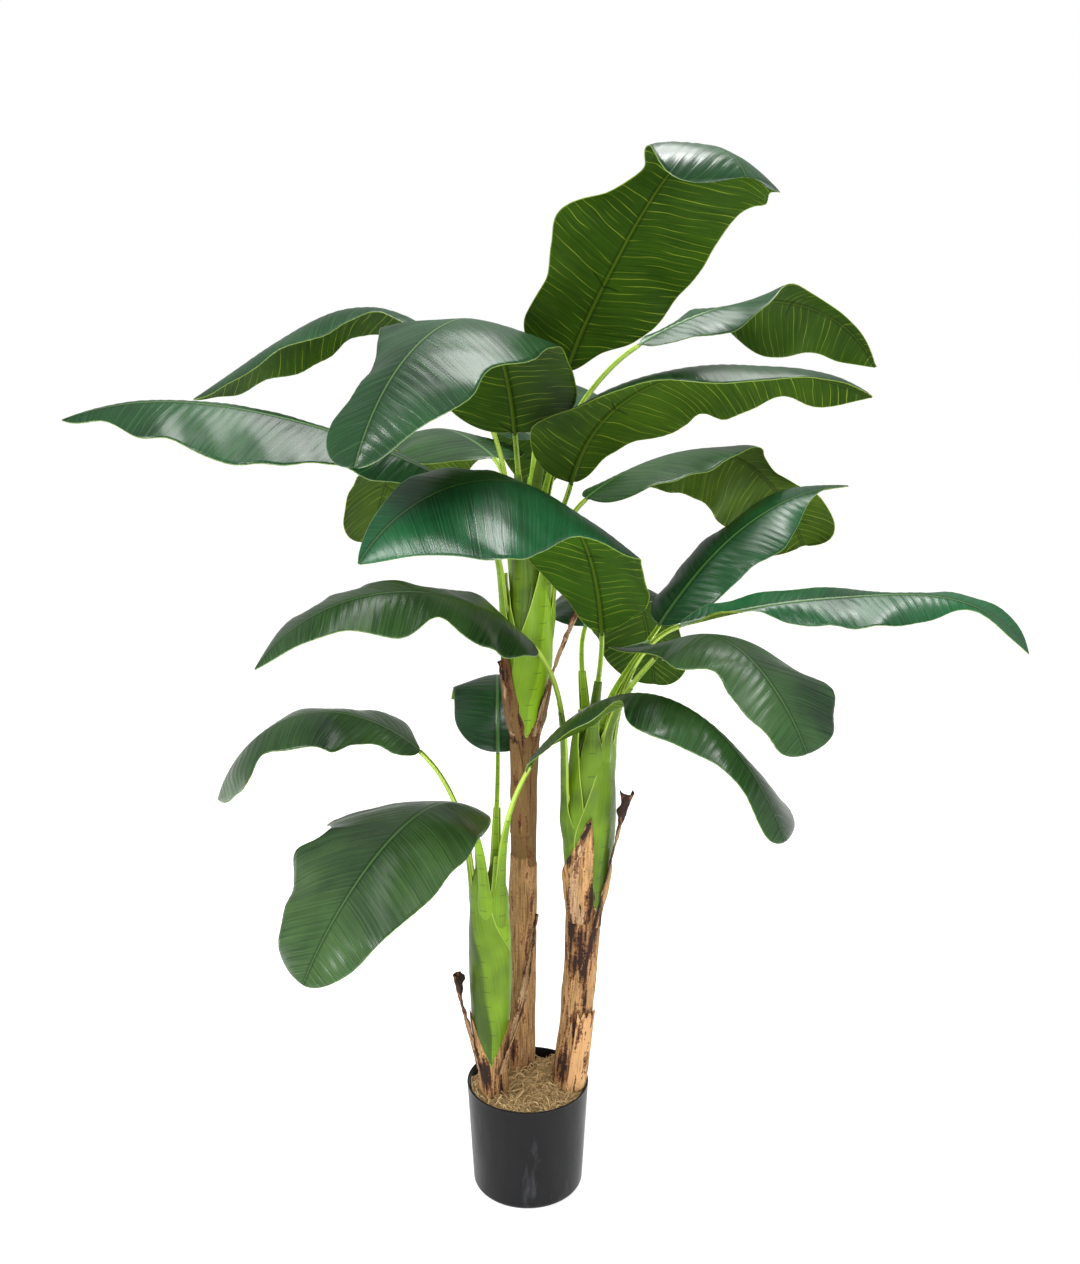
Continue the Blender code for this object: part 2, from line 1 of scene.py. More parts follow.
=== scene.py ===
"""Looks of an artificial banana plant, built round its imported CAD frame.

Three stems rise from dry moss in a round planter pot. Metres, +Z up, and the plant faces -Y.
Every blade, sheath and bark surface is a grid worked out from two parameters, and the named sizes
are those of the CAD part, so that each finer piece lies where its CAD node is.
"""

from dataclasses import dataclass
from functools import partial

import bpy
import numpy as np
from bpy.props import FloatProperty, FloatVectorProperty, IntProperty, PointerProperty
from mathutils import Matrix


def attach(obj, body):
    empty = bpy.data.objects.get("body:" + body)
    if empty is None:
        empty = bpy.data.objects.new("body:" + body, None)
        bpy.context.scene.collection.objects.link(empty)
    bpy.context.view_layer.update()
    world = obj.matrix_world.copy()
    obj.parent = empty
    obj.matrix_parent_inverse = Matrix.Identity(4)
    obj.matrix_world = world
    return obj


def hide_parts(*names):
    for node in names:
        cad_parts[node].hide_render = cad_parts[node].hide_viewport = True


bl_info = {
    "name": "Artificial banana plant",
    "version": (1, 0, 0),
    "blender": (4, 5, 0),
    "location": "3D View > Sidebar > Banana plant",
    "description": "Finishes a potted artificial banana plant round its CAD frame",
    "category": "Object",
}

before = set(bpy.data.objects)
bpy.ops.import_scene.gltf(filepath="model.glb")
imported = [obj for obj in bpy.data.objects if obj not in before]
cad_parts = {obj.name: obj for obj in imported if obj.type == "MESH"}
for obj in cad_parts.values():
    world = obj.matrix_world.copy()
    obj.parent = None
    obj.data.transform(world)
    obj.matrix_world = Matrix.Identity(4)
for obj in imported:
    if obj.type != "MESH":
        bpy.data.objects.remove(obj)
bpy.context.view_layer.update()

# Stage: the lens is as long as the frame's height times LENS_SHARE, and the tilt is in degrees
FLOOR_HALF = 30.0
SENSOR = 36.0
LENS_SHARE = 1320 / 1264
CAMERA_PLACE = (0.022, -2.14, 1.523)
CAMERA_TILT = 13.05
AIM = (0.05, -0.1)

# Pot and moss
POT_HEIGHT = 0.200
POT_RIM_RADIUS = 0.109
POT_BASE_RADIUS = 0.0985
POT_WALL = 0.003
POT_EDGE = 0.010
POT_FLOOR = 0.004
POT_SIDES = 192
MOSS_FOOT = 0.155
MOSS_EDGE = 0.180
MOSS_CROWN = 0.194
HEAP_PLACE = (0.030, 0.004)
HEAP_SPREAD = 0.036
HEAP_HEIGHT = 0.012
HOLLOW_DEPTH = 0.017
MOSS_SIDES = 96
MOSS_ROWS = 40
STRAND_STEPS = 11
STRAND_CORNERS = 3

# Fronds: grid of a blade, its rings along the stalk, and the CAD's rules for their shape
BLADE_ROWS = 200
BLADE_COLUMNS = 49
BLADE_END = 0.9993
CROWDING = 1.45
STALK_ROWS = 26
STALK_END = 0.985
STALK_TONE = 0.55
STALK_FOOT_THICK = 0.0055
CLEAR = 0.00015
BEND_STEPS = 24
RUN_STEPS = 240
FOLD_AT_RIB = 0.35
FOLD_GROWTH = 1.3
WAVES = 2.5
WAVE_HEIGHT = 0.008
RIPPLE_OFFSET = 0.31
RIPPLE_POWER = 1.6
RIPPLE_LENGTHS = (0.16, 0.085)
PLEAT_WANDER = (0.1, 0.06)
MILLIMETRE = 0.001
TIP_HALF_WIDTH = 0.0030
GROOVE_HALF = 0.0030
GROOVE_DEPTH = 0.0012
RIB_HALF = 0.0042
VEIN_SLANT = 0.42
VEIN_CURVE = 0.9
VEIN_PITCH = 0.014
BRANCH_PITCH = 0.12

# Section of a stalk from its foot to its blade: half width, depth of the channel, thickness
STALK_SECTION = ((0.0078, 0.0064, 0.0046, 0.0040, 0.0038), (0.0052, 0.0030, 0.0020, 0.0012, 0.0008),
                 (0.0030, 0.0044, 0.0048, 0.0048, 0.0050))

# Places of a frond's three finishes in its list
UPPER, UNDER, STALK = range(3)

# Shape of a blade: length of its round base, where it starts to narrow, power, bluntness
POINTED = (0.22, 0.55, 1.9, 0.75)
BLUNT = (0.22, 0.66, 2.6, 0.52)
SQUARE = (0.22, 0.80, 8.0, 0.22)
LOBED = (0.22, 0.76, 3.2, 0.48)

# Stems: grids, the radii that turn an angle into a pattern's width, and the moulded rungs
STEM_STEP = 0.003
TRUNK_COLUMNS = 120
TRUNK_ARC = 0.026
STEM_COLUMNS = 96
STEM_ARC = 0.03
SHEATH_STEP = 0.0035
SHEATH_COLUMNS = 41
STRIP_ROWS = 120
STRIP_COLUMNS = 17
STRIP_CUP = 40.0
LEAF_BASE_ROWS = 72
LEAF_BASE_COLUMNS = 25
LEAF_BASE_DROP = (0.15, 0.21)
LEAF_BASE_LIFT = (-0.0050, -0.0008, 0.0010, 0.0030)
LEAF_BASE_BULGE = 0.009
LEAF_BASE_REACH = 0.55
LEAF_BASE_RADII = (0.0135, 0.0095, 0.0072)
LEAF_BASE_COVER = (0.0085, 0.0078, 0.0060)
LEAF_BASE_HALF_ANGLES = (3, 34, 60, 60, 62, 66, 60)
RUNG_PITCH = 0.028
RUNG_HALF = 0.0012
RUNG_SHIFT = 0.37

# Thickness of each kind of sheet
SHEATH_THICK = 0.0022
WRAP_THICK = 0.0018
LEAF_BASE_THICK = 0.0018
STRIP_THICK = 0.0016
BARK_THICK = 0.0014

# Seeds: of the moss, and of the first piece of each other kind
STRAND_SEED = 11
MOUND_SEED = 61
BED_SEED = 67
TRUNK_SEED = 100
WRAP_SEED = 200
STRIP_SEED = 300
PSEUDOSTEM_SEED = 400
SHEATH_SEED = 500
LEAF_BASE_SEED = 600
FROND_SEED = 700


@dataclass
class Stem:
    """A stem as centre points (x, y, z), with the radius at each of its heights."""

    points: tuple
    brown_heights: tuple
    brown_radii: tuple
    green_heights: tuple
    green_radii: tuple


@dataclass
class Frond:
    """Angles in degrees: heading from +X towards +Y, rise above level, roll lifts the left half.

    A tuple of sizes stands evenly along the blade from its base to its tip. The lifts are in
    millimetres, at the margin. The tone shifts the blade's colour towards a pale olive at 1 and a fresh
    green at -1.
    """

    stem: str
    around: float
    height: float
    base: tuple
    length: float
    width: float
    heading: tuple
    rise: tuple
    roll: tuple = (0,)
    fold_left: tuple = (14, 20, 16)
    fold_right: tuple = (14, 20, 16)
    wide_left: tuple = (1,)
    wide_right: tuple = (1,)
    lift_left: tuple = (0,)
    lift_right: tuple = (0,)
    shape: tuple = POINTED
    tone: float = 0.0


@dataclass
class Sheath:
    """Part of a leaf base wrapped round its stem, from its foot up to its tip."""

    stem: str
    around: tuple
    foot: float
    tip: float
    half_angles: tuple
    lift: tuple


@dataclass
class Strip:
    """Dried sheath strip that has split off the stem and stands up from it."""

    stem: str
    around: float
    height: float
    heading: tuple
    rise: tuple
    length: float
    widths: tuple
    inset: float = 0.0
    dark: float = 0.22


STEMS = {
    "tall": Stem(
        points=((-0.015, 0.038, 0.150), (-0.009, 0.036, 0.500), (-0.003, 0.035, 0.850),
                (0.004, 0.035, 1.240)),
        brown_heights=(0.1503, 0.300, 0.600, 0.740, 0.836),
        brown_radii=(0.0260, 0.0245, 0.0228, 0.0220, 0.0245),
        green_heights=(0.8364, 0.900, 0.980, 1.060, 1.150, 1.205, 1.230),
        green_radii=(0.0240, 0.0330, 0.0390, 0.0340, 0.0270, 0.0190, 0.0120)),
    "right": Stem(
        points=((0.066, -0.010, 0.150), (0.081, -0.014, 0.280), (0.093, -0.018, 0.440),
                (0.102, -0.020, 0.610), (0.106, -0.020, 0.740), (0.110, -0.020, 0.900)),
        brown_heights=(0.1503, 0.200, 0.340, 0.440, 0.545),
        brown_radii=(0.0270, 0.0285, 0.0275, 0.0290, 0.0320),
        green_heights=(0.5454, 0.620, 0.720, 0.800, 0.860, 0.890),
        green_radii=(0.0315, 0.0370, 0.0390, 0.0320, 0.0240, 0.0150)),
    "short": Stem(
        points=((-0.056, -0.033, 0.150), (-0.062, -0.035, 0.260), (-0.063, -0.035, 0.450),
                (-0.062, -0.035, 0.630)),
        brown_heights=(0.1503, 0.200, 0.250),
        brown_radii=(0.0275, 0.0270, 0.0250),
        green_heights=(0.2504, 0.320, 0.440, 0.540, 0.600, 0.625),
        green_radii=(0.0240, 0.0280, 0.0310, 0.0270, 0.0210, 0.0140)),
}

FRONDS = {
    "frond_tall_top": Frond(
        stem="tall", around=-75, height=1.200, base=(0.064, -0.020, 1.455), length=0.54, width=0.24,
        heading=(-60, -56, -56, -56, -44), rise=(56, 50, 45, 24, -64), roll=(-30, -30, -24, 6),
        wide_left=(0.30, 0.40, 0.68, 0.86, 0.92, 0.96, 0.92, 0.95, 1.17, 1.10, 1.2),
        wide_right=(0.85, 0.87, 0.82, 0.80, 0.94, 1.03, 0.60, 0.42, 0.75, 1.00, 0.90), shape=SQUARE),
    "frond_tall_front": Frond(
        stem="tall", around=-122, height=1.200, base=(-0.018, -0.020, 1.358), length=0.68, width=0.24,
        heading=(-97, -103, -119, -119), rise=(60, 24, -24, -64), fold_right=(14, 16, 9, 12, 14),
        wide_left=(0.85, 0.95, 1, 1, 1, 1, 1.05, 0.90, 0.95, 0.58, 0.30),
        wide_right=(1, 1, 1, 1.05, 1.1, 1.1, 0.9, 0.65, 0.46, 0.58, 0.9), shape=LOBED),
    "frond_tall_left_high": Frond(
        stem="tall", around=190, height=1.190, base=(-0.065, 0.030, 1.390), length=0.585, width=0.22,
        heading=(165, 178, 190, 191), rise=(66, 48, 12, -25, -33, -33), roll=(0, 15, 15, 10),
        fold_left=(26, 30, 22),
        wide_left=(0.4, 0.45, 0.8, 0.9),
        wide_right=(0.4, 0.43, 0.46, 0.5, 0.65, 0.82, 0.95, 1, 1, 1.5, 1.2)),
    "frond_tall_left": Frond(
        stem="tall", around=205, height=1.040, base=(-0.130, -0.120, 1.300), length=0.57, width=0.20,
        heading=(-160, -167, -172, -176), rise=(28, 18, 5, -20), roll=(-25,),
        fold_left=(10, 14, 12), fold_right=(35, 40, 40),
        wide_left=(0.5, 0.6, 0.65, 0.75, 1, 1.07, 1.03, 0.93, 1.05, 0.55, 0.8)),
    "frond_tall_back_left": Frond(
        stem="tall", around=145, height=1.185, base=(-0.055, 0.070, 1.310), length=0.615, width=0.23,
        heading=(120, 121, 122, 126), rise=(20, -2, -42, -70),
        wide_left=(1, 1, 1.05, 0.9, 1, 1.05, 0.95, 0.84, 0.88, 1.05, 1.2),
        wide_right=(1, 1, 1, 1.05, 1.1, 1.25, 1.25, 1.1, 1, 1, 1), shape=BLUNT, tone=0.2),
    "frond_tall_right_high": Frond(
        stem="tall", around=35, height=1.195, base=(0.190, 0.120, 1.495), length=0.55, width=0.21,
        heading=(29, 27, 24, 24), rise=(26, 12, -16, -56), roll=(15, 12, -44, -56, -50),
        fold_left=(6, 6, 16, 16), fold_right=(14, 22, 28, 28),
        wide_left=(0.2, 0.2, 0.3, 0.5, 0.8, 0.95, 0.95, 0.9, 0.85, 0.95, 0.8),
        wide_right=(0.5, 0.5, 0.5, 0.62, 0.7, 0.64, 0.42, 0.32, 0.25, 0.25, 0.2)),
    "frond_tall_right": Frond(
        stem="tall", around=-38, height=1.120, base=(0.072, -0.030, 1.280), length=0.57, width=0.23,
        heading=(-58, -42, -14, 0), rise=(65, 30, 0, -24), roll=(-20, -28, -38), fold_right=(0, 35, 36),
        wide_left=(0.4, 0.35, 0.45, 0.8, 0.87, 0.70, 0.80, 0.74, 0.62, 0.85, 0.6),
        wide_right=(0.85, 0.9, 1, 1, 1.05, 1, 1, 0.8, 1.05, 1.1, 1), tone=0.1),
    "frond_tall_back": Frond(
        stem="tall", around=90, height=1.195, base=(0.014, 0.120, 1.335), length=0.56, width=0.23,
        heading=(86, 88, 93, 97), rise=(50, 10, -52, -74)),
    "frond_tall_back_right": Frond(
        stem="tall", around=8, height=1.060, base=(0.100, 0.085, 1.240), length=0.63, width=0.22,
        heading=(26, 34, 41, 41), rise=(34, 4, -32, -62), roll=(5, -24, -40, -42),
        fold_right=(10, 28, 24, 32), wide_left=(0.8, 0.8, 0.7, 1.05, 1.05, 0.95, 0.95, 1.1, 1, 0.9, 1.2),
        wide_right=(1, 1, 1, 0.95, 0.9, 0.8, 0.4, 0.35, 0.65, 0.85, 1.1), shape=LOBED, tone=0.25),
    "frond_right_front": Frond(
        stem="right", around=-90, height=0.850, base=(0.120, -0.100, 1.050), length=0.66, width=0.25,
        heading=(-98, -120, -144, -152), rise=(66, 45, 0, -56), roll=(0, -6, -16, -20),
        fold_right=(14, 8, 5), wide_left=(0.4, 0.7, 0.85, 0.95, 1.2, 0.85, 1.05, 1.35, 1.5, 1.2, 1.0),
        wide_right=(0.4, 0.5, 0.72, 0.8, 0.8, 0.7, 0.62, 0.8, 0.7, 0.55, 0.6), tone=-0.55),
    "frond_right_raised": Frond(
        stem="right", around=52, height=0.850, base=(0.228, 0.074, 1.024), length=0.435, width=0.19,
        heading=(32, 24, 14, 6), rise=(50, 42, 27, 2), roll=(20,), fold_left=(25, 30, 30),
        wide_left=(0.7, 0.9, 0.8, 0.85, 0.85, 1.1, 1.3, 1.5, 2.0, 2.0, 1.5),
        wide_right=(0.5, 0.62, 0.65, 0.62, 0.72, 0.85, 0.85, 0.64, 0.38, 0.15, 0.3), tone=-0.15),
    "frond_right_long": Frond(
        stem="right", around=8, height=0.830, base=(0.255, -0.004, 1.040), length=0.605, width=0.20,
        heading=(3, -3, -8, -8), rise=(16, 7, -3, -58), roll=(20,),
        fold_left=(8, 6, 14, 16, 10, -4), fold_right=(14, 20, 8),
        wide_left=(0.3, 0.42, 0.45, 0.42, 0.42, 0.5, 0.45, 0.4, 0.45, 0.7, 0.8),
        wide_right=(0.1, 0.05, 0.08, 0.36, 0.58, 0.75, 0.65, 0.44, 0.15, 0.5, 0.6),
        lift_left=(0, 6, 8, 4, 0, -4, -8, -8, -2, 8, 0), tone=-0.35),
    "frond_right_drooping": Frond(
        stem="right", around=-38, height=0.850, base=(0.208, -0.080, 1.006), length=0.425, width=0.22,
        heading=(-68, -61, -52, -48), rise=(38, 13, -34, -62), fold_left=(25, 20, 0),
        wide_left=(0.9, 0.8, 0.7, 0.75, 0.9, 1, 1, 1, 1.15, 1.0, 1.1),
        wide_right=(1.2, 1.1, 0.8, 0.62, 0.85, 0.9, 0.56, 0.55, 0.57, 0.55, 0.7),
        lift_right=(30, 26, 14, 0, 0, 0, 0, 0, 0, 0, 0), shape=LOBED, tone=0.25),
    "frond_right_back": Frond(
        stem="right", around=105, height=0.850, base=(0.100, 0.075, 1.020), length=0.52, width=0.22,
        heading=(70, 66, 64, 64), rise=(36, -4, -56, -76), wide_right=(0.5, 0.75, 1), shape=BLUNT),
    "frond_right_reaching_left": Frond(
        stem="right", around=205, height=0.720, base=(0.010, -0.120, 1.038), length=0.505, width=0.19,
        heading=(-140, -151, -163, -174), rise=(44, 19, -15, -56), roll=(-14,),
        wide_left=(1.1, 0.98, 1, 1.1, 0.68, 0.83, 0.84, 0.66, 0.75, 0.55, 0.6), wide_right=(1, 1.15, 1.1),
        lift_right=(0, 18, 25, 15, 6, 0, 0, 4, 0, 0, 0), tone=0.35),
    "frond_short_right": Frond(
        stem="short", around=-54, height=0.590, base=(0.006, -0.122, 0.838), length=0.585, width=0.19,
        heading=(-22, -36, -41, -42), rise=(60, 24, -30, -66), roll=(5, 0, -5),
        fold_left=(10, 20, 45, 40, 10), fold_right=(10, 14, 10),
        wide_left=(1.1, 1.1, 0.8, 0.7, 0.35, 0.2, 0.15, 0.25, 0.6, 1.3, 1.6),
        wide_right=(1.3, 1.3, 0.95, 0.55, 0.32, 0.95, 1, 0.56, 0.44, 0.5, 0.7), shape=LOBED, tone=0.20),
    "frond_short_front": Frond(
        stem="short", around=-108, height=0.580, base=(-0.104, -0.130, 0.771), length=0.49, width=0.22,
        heading=(-106, -114, -125, -138), rise=(30, 0, -34, -62), fold_right=(14, 12, 6),
        wide_left=(0.75, 0.75, 0.78, 0.9, 1, 0.97, 0.92, 0.88, 0.81, 0.62, 0.5),
        wide_right=(1, 1, 1.35, 1.6, 1.35, 1.1, 1.5, 1.3, 1.05, 0.95, 1.2), shape=LOBED, tone=0.40),
    "frond_short_left": Frond(
        stem="short", around=180, height=0.580, base=(-0.179, -0.030, 0.831), length=0.42, width=0.18,
        heading=(190, 190, 191, 193), rise=(45, 14, -34, -74), roll=(-14, -5, 5, 5),
        wide_left=(0.5, 0.5, 0.48, 0.9, 1.25, 0.95, 0.86, 0.8, 1.3, 1.05, 0.9),
        lift_right=(0, 4, 10, 8, 2, 6, 14, 10, 6, 0, 0), shape=(0.12, 0.70, 2.8, 0.50), tone=0.30),
    "frond_short_back": Frond(
        stem="short", around=75, height=0.600, base=(-0.052, 0.068, 0.795), length=0.50, width=0.19,
        heading=(92, 92, 93, 97), rise=(62, 8, -40, -50), wide_left=(0.9, 0.86, 0.92, 1, 1, 1)),
}

SHEATHS = {
    "sheath_tall_left": Sheath(
        "tall", (-150, -160, -168, -172, -176), 0.870, 1.120, (14, 62, 62, 42, 14),
        (0.0010, 0.0016, 0.0024, 0.0045)),
    "sheath_tall_front": Sheath(
        "tall", (-85, -82, -65, -58, -48, -42), 0.842, 1.130, (3, 52, 58, 50, 34, 16),
        (0.0026, 0.0034, 0.0040, 0.0046, 0.0065)),
    "sheath_right_left": Sheath(
        "right", (-150, -155, -160, -164, -168), 0.550, 0.900, (30, 60, 57, 38, 14),
        (-0.0035, 0.0012, 0.0022, 0.0045)),
    "sheath_right_front": Sheath(
        "right", (-58, -60, -54, -42, -28, -18), 0.551, 0.870, (3, 55, 70, 60, 46, 24),
        (0.0026, 0.0034, 0.0038, 0.0044, 0.0055)),
    "sheath_short_front": Sheath(
        "short", (-50, -38, -35, -45, -54), 0.275, 0.650, (14, 66, 72, 52, 16),
        (0.0010, 0.0014, 0.0018, 0.0028, 0.0045)),
    "sheath_short_left": Sheath(
        "short", (-90, -88, -100, -110, -140, -159, -178), 0.264, 0.655, (3, 57, 90, 95, 72, 56, 14),
        (0.0026, 0.0036, 0.0042, 0.0048, 0.0054, 0.0056, 0.0060)),
}

# Painted light and shade on each green leaf base, left and right of its keel: 0 is deep shaded green, 1 is
# bright lit green
SHEATH_LIT_AND_SHADED_TONES = {"sheath_tall_left": (0.10, 0.25), "sheath_tall_front": (0.62, 1.05),
                "sheath_right_left": (0.38, 0.30), "sheath_right_front": (0.28, 0.06),
                "sheath_short_front": (0.75, 0.75), "sheath_short_left": (0.02, 0.40)}

# Range of the random greens of the narrow leaf bases on each stem
BASE_TONES = {"tall": (0.15, 0.60), "right": (0.15, 0.60), "short": (0.40, 0.56)}

WRAPS = {
    "dry_wrap_right": Sheath(
        "right", (-52, -48), 0.198, 0.350, (44, 46, 44, 42), (0.0020, 0.0028, 0.0040)),
    "dry_wrap_tall": Sheath(
        "tall", (-115, -140), 0.660, 0.830, (60, 55, 40, 24), (0.0008, 0.0012, 0.0020)),
}

STRIPS = {
    "dry_strip_tall_left": Strip(
        "tall", 215, 0.842, (215, 200), (80, 78), 0.135, (0.018, 0.014, 0.006)),
    "dry_strip_tall_right": Strip(
        "tall", -45, 0.842, (-45, -25, -20), (78, 70, 66), 0.240, (0.022, 0.017, 0.012, 0.009)),
    "dry_strip_right_front": Strip(
        "right", -113, 0.526, (-113, -60, -10), (84, 80, 70), 0.195, (0.030, 0.027, 0.014, 0.007),
        inset=0.0010),
    "dry_strip_right_long": Strip(
        "right", -45, 0.516, (-45, -15, -40), (82, 77, 74), 0.255, (0.016, 0.011, 0.009, 0.020),
        dark=0.52),
    "dry_strip_short_left": Strip(
        "short", 200, 0.246, (200, 205, 190), (80, 76, 80), 0.195, (0.024, 0.016, 0.013, 0.024),
        inset=0.0010, dark=0.46),
    "dry_strip_short_right": Strip(
        "short", -49, 0.246, (-40, 45, 40), (78, 72, 80), 0.295, (0.026, 0.018, 0.013, 0.008)),
}

# Dark stains on the bark: (around in degrees, height, half angle, half height, strength)
STAINS = {
    "tall": ((-60, 0.20, 50, 0.04, 0.35), (-120, 0.30, 14, 0.10, 0.3), (-55, 0.46, 9, 0.10, 0.4),
             (-75, 0.855, 34, 0.03, 0.6), (-128, 0.93, 12, 0.05, 0.55), (-130, 0.76, 20, 0.05, 0.4),
             (-66, 0.70, 14, 0.07, 0.3), (90, 0.40, 25, 0.20, 0.4)),
    "right": ((-130, 0.520, 22, 0.075, 1.00), (-100, 0.492, 14, 0.055, 1.00), (-74, 0.555, 17, 0.080, 1.05),
              (-60, 0.500, 28, 0.050, 0.95), (-110, 0.450, 38, 0.030, 0.92), (-80, 0.425, 20, 0.055, 0.85),
              (-66, 0.365, 18, 0.060, 0.75), (-92, 0.335, 17, 0.045, 0.66), (-125, 0.300, 14, 0.085, 0.62),
              (-118, 0.225, 20, 0.035, 0.50), (-140, 0.645, 30, 0.016, 0.75), (-85, 0.716, 12, 0.018, 0.85),
              (-150, 0.250, 20, 0.080, 0.5), (80, 0.40, 30, 0.12, 0.6)),
    "short": ((-118, 0.235, 34, 0.040, 0.70), (-60, 0.225, 26, 0.050, 0.60), (-92, 0.200, 22, 0.030, 0.55),
              (100, 0.20, 60, 0.04, 0.5), (-165, 0.290, 40, 0.040, 0.45), (-35, 0.300, 30, 0.030, 0.45)),
}

# Torn top edge of each trunk's dried sheath, as (around, height) from the back and right round
TOP_EDGES = {
    "tall": ((-180, 0.900), (-165, 0.950), (-150, 0.985), (-135, 0.990), (-124, 0.970), (-121, 0.940),
             (-106, 0.900), (-86, 0.843), (-70, 0.856), (-50, 0.872), (-25, 0.915), (-5, 0.955),
             (15, 0.940), (60, 0.880), (95, 0.900), (140, 0.880), (180, 0.900)),
    "right": ((-180, 0.600), (-150, 0.628), (-118, 0.668), (-96, 0.715), (-87, 0.726), (-82, 0.690),
              (-75, 0.610), (-64, 0.553), (-42, 0.585), (-20, 0.628), (0, 0.605), (40, 0.570),
              (95, 0.600), (140, 0.580), (180, 0.600)),
    "short": ((-180, 0.355), (-150, 0.345), (-120, 0.302), (-96, 0.266), (-70, 0.290), (-40, 0.325),
              (-22, 0.345), (20, 0.310), (85, 0.320), (140, 0.300), (180, 0.355)),
}

# Bark colour of each trunk above and below its cut wraps' top edges: 0 is pale tan, 1 is grey brown
BARK_TONES = {"tall": (1.15, 0.40), "right": (0.16, 0.20), "short": (0.28, 0.28)}
WRAP_TONES = {"dry_wrap_right": (-0.35, -0.35), "dry_wrap_tall": (0.95, 0.95)}

# Top edges of the cut bark wraps: (around at the middle, half angle, height, how far it stands proud)
BARK_WRAPS = {
    "tall": ((-128, 62, 0.618, 0.0010), (-50, 78, 0.601, 0.0016), (95, 75, 0.610, 0.0013)),
    "right": ((70, 80, 0.430, 0.0012), (190, 40, 0.390, 0.0010)),
    "short": ((90, 80, 0.225, 0.0010),),
}


# ---------------------------------------------------------------- shapes

def stacked(*parts):
    """The parts brought to one shape and stacked as the last axis of a new array."""
    return np.stack(np.broadcast_arrays(*parts), axis=-1)


def unit(vectors):
    """Vectors along the last axis brought to length 1."""
    return vectors / np.linalg.norm(vectors, axis=-1, keepdims=True)


def through(knots, values, at):
    """Cubic through the values at their knots, each slope taken from the neighbours."""
    knots = np.asarray(knots, float)
    values = np.asarray(values, float)
    slope = np.gradient(values, knots)
    i = np.clip(np.searchsorted(knots, at, side="right") - 1, 0, len(knots) - 2)
    span = knots[i + 1] - knots[i]
    f = np.clip((np.asarray(at, float) - knots[i]) / span, 0.0, 1.0)
    return (values[i] * (1 + 2 * f) * (1 - f) ** 2 + slope[i] * span * f * (1 - f) ** 2
            + values[i + 1] * f * f * (3 - 2 * f) + slope[i + 1] * span * f * f * (f - 1))


def spread(values, at):
    """The values stand evenly along 0 to 1; a single value holds throughout."""
    if len(values) == 1:
        return np.full(np.shape(at), float(values[0]))
    return through(np.linspace(0.0, 1.0, len(values)), values, at)


def smooth_step(low, high, x):
    """0 at low and before it, 1 at high and beyond it, and 3 t^2 - 2 t^3 between them."""
    t = np.clip((x - low) / (high - low), 0.0, 1.0)
    return t * t * (3 - 2 * t)


def ripples(seed, x, y, across, along, count=9):
    """Sum of sine waves of random lengths and slants, about across by along metres, within -1 to 1."""
    draw = np.random.default_rng(seed)
    total = np.zeros(np.broadcast(x, y).shape)
    for _ in range(count):
        kx = 2 * np.pi / across * draw.uniform(0.4, 1.3) * draw.choice((-1, 1))
        ky = 2 * np.pi / along * draw.uniform(0.4, 1.3)
        total += np.sin(kx * x + ky * y + draw.uniform(0, 2 * np.pi))
    return total / np.sqrt(count) / 1.4


def direction(heading, rise):
    """Unit vectors of the run: (cos e cos a, cos e sin a, sin e)."""
    a, e = np.radians(heading), np.radians(rise)
    return stacked(np.cos(e) * np.cos(a), np.cos(e) * np.sin(a), np.sin(e))


def rolled(left, up, roll):
    """Left and up turned by the roll, in radians, about the run."""
    return np.cos(roll) * left + np.sin(roll) * up, np.cos(roll) * up - np.sin(roll) * left


def sides(heading, rise, roll):
    """Left and up of each direction, turned by the roll about the run."""
    a, e = np.radians(heading), np.radians(rise)
    left = stacked(-np.sin(a), np.cos(a), 0.0)
    up = stacked(-np.sin(e) * np.cos(a), -np.sin(e) * np.sin(a), np.cos(e))
    return rolled(left, up, np.radians(roll)[..., None])


def run_from(start, heading, rise, length, at):
    """Points along a path that starts at start and follows the headings and rises."""
    fine = np.linspace(0.0, 1.0, RUN_STEPS + 1)
    step = direction(spread(heading, fine), spread(rise, fine)) * length / RUN_STEPS
    path = np.vstack([np.zeros(3), np.cumsum((step[1:] + step[:-1]) / 2, axis=0)])
    return np.asarray(start) + stacked(*(np.interp(at, fine, line) for line in path.T))


def stem_centre(stem, z):
    """Centre line of a stem at heights z, x and y being cubics of z."""
    x, y, heights = np.transpose(stem.points)
    return stacked(through(heights, x, z), through(heights, y, z), z)


def stem_radius(stem, z):
    """Radius of the green part above its lowest height and of the bark below it, cubics of z."""
    green = through(stem.green_heights, stem.green_radii, z)
    return np.where(z > stem.green_heights[0], green, through(stem.brown_heights, stem.brown_radii, z))


def core_radius(stem, z):
    """Green core under the leaf bases: it slims by a third and then runs out in a blunt cone."""
    high = stem.green_heights[-1]
    slim = 0.35 * smooth_step(high - 0.20, high - 0.03, z) + 0.45 * smooth_step(high - 0.05, high, z)
    return stem_radius(stem, z) * (1 - slim)


def normals_of(grid):
    """Unit normals of a grid: the cross product of its slopes along rows and across columns."""
    normal = np.cross(np.gradient(grid, axis=0), np.gradient(grid, axis=1))
    return normal / np.maximum(np.linalg.norm(normal, axis=-1, keepdims=True), 1e-12)


def round_about(stem, z, turn, radius):
    """Points at a radius and a turn (radians) about a stem's centre line at heights z."""
    return stem_centre(stem, z) + radius[..., None] * stacked(np.cos(turn), np.sin(turn), 0.0)


def away_from(turn, around):
    """Degrees between a turn in radians and a direction in degrees, from -180 to 180."""
    return np.degrees(np.angle(np.exp(1j * (turn - np.radians(around)))))


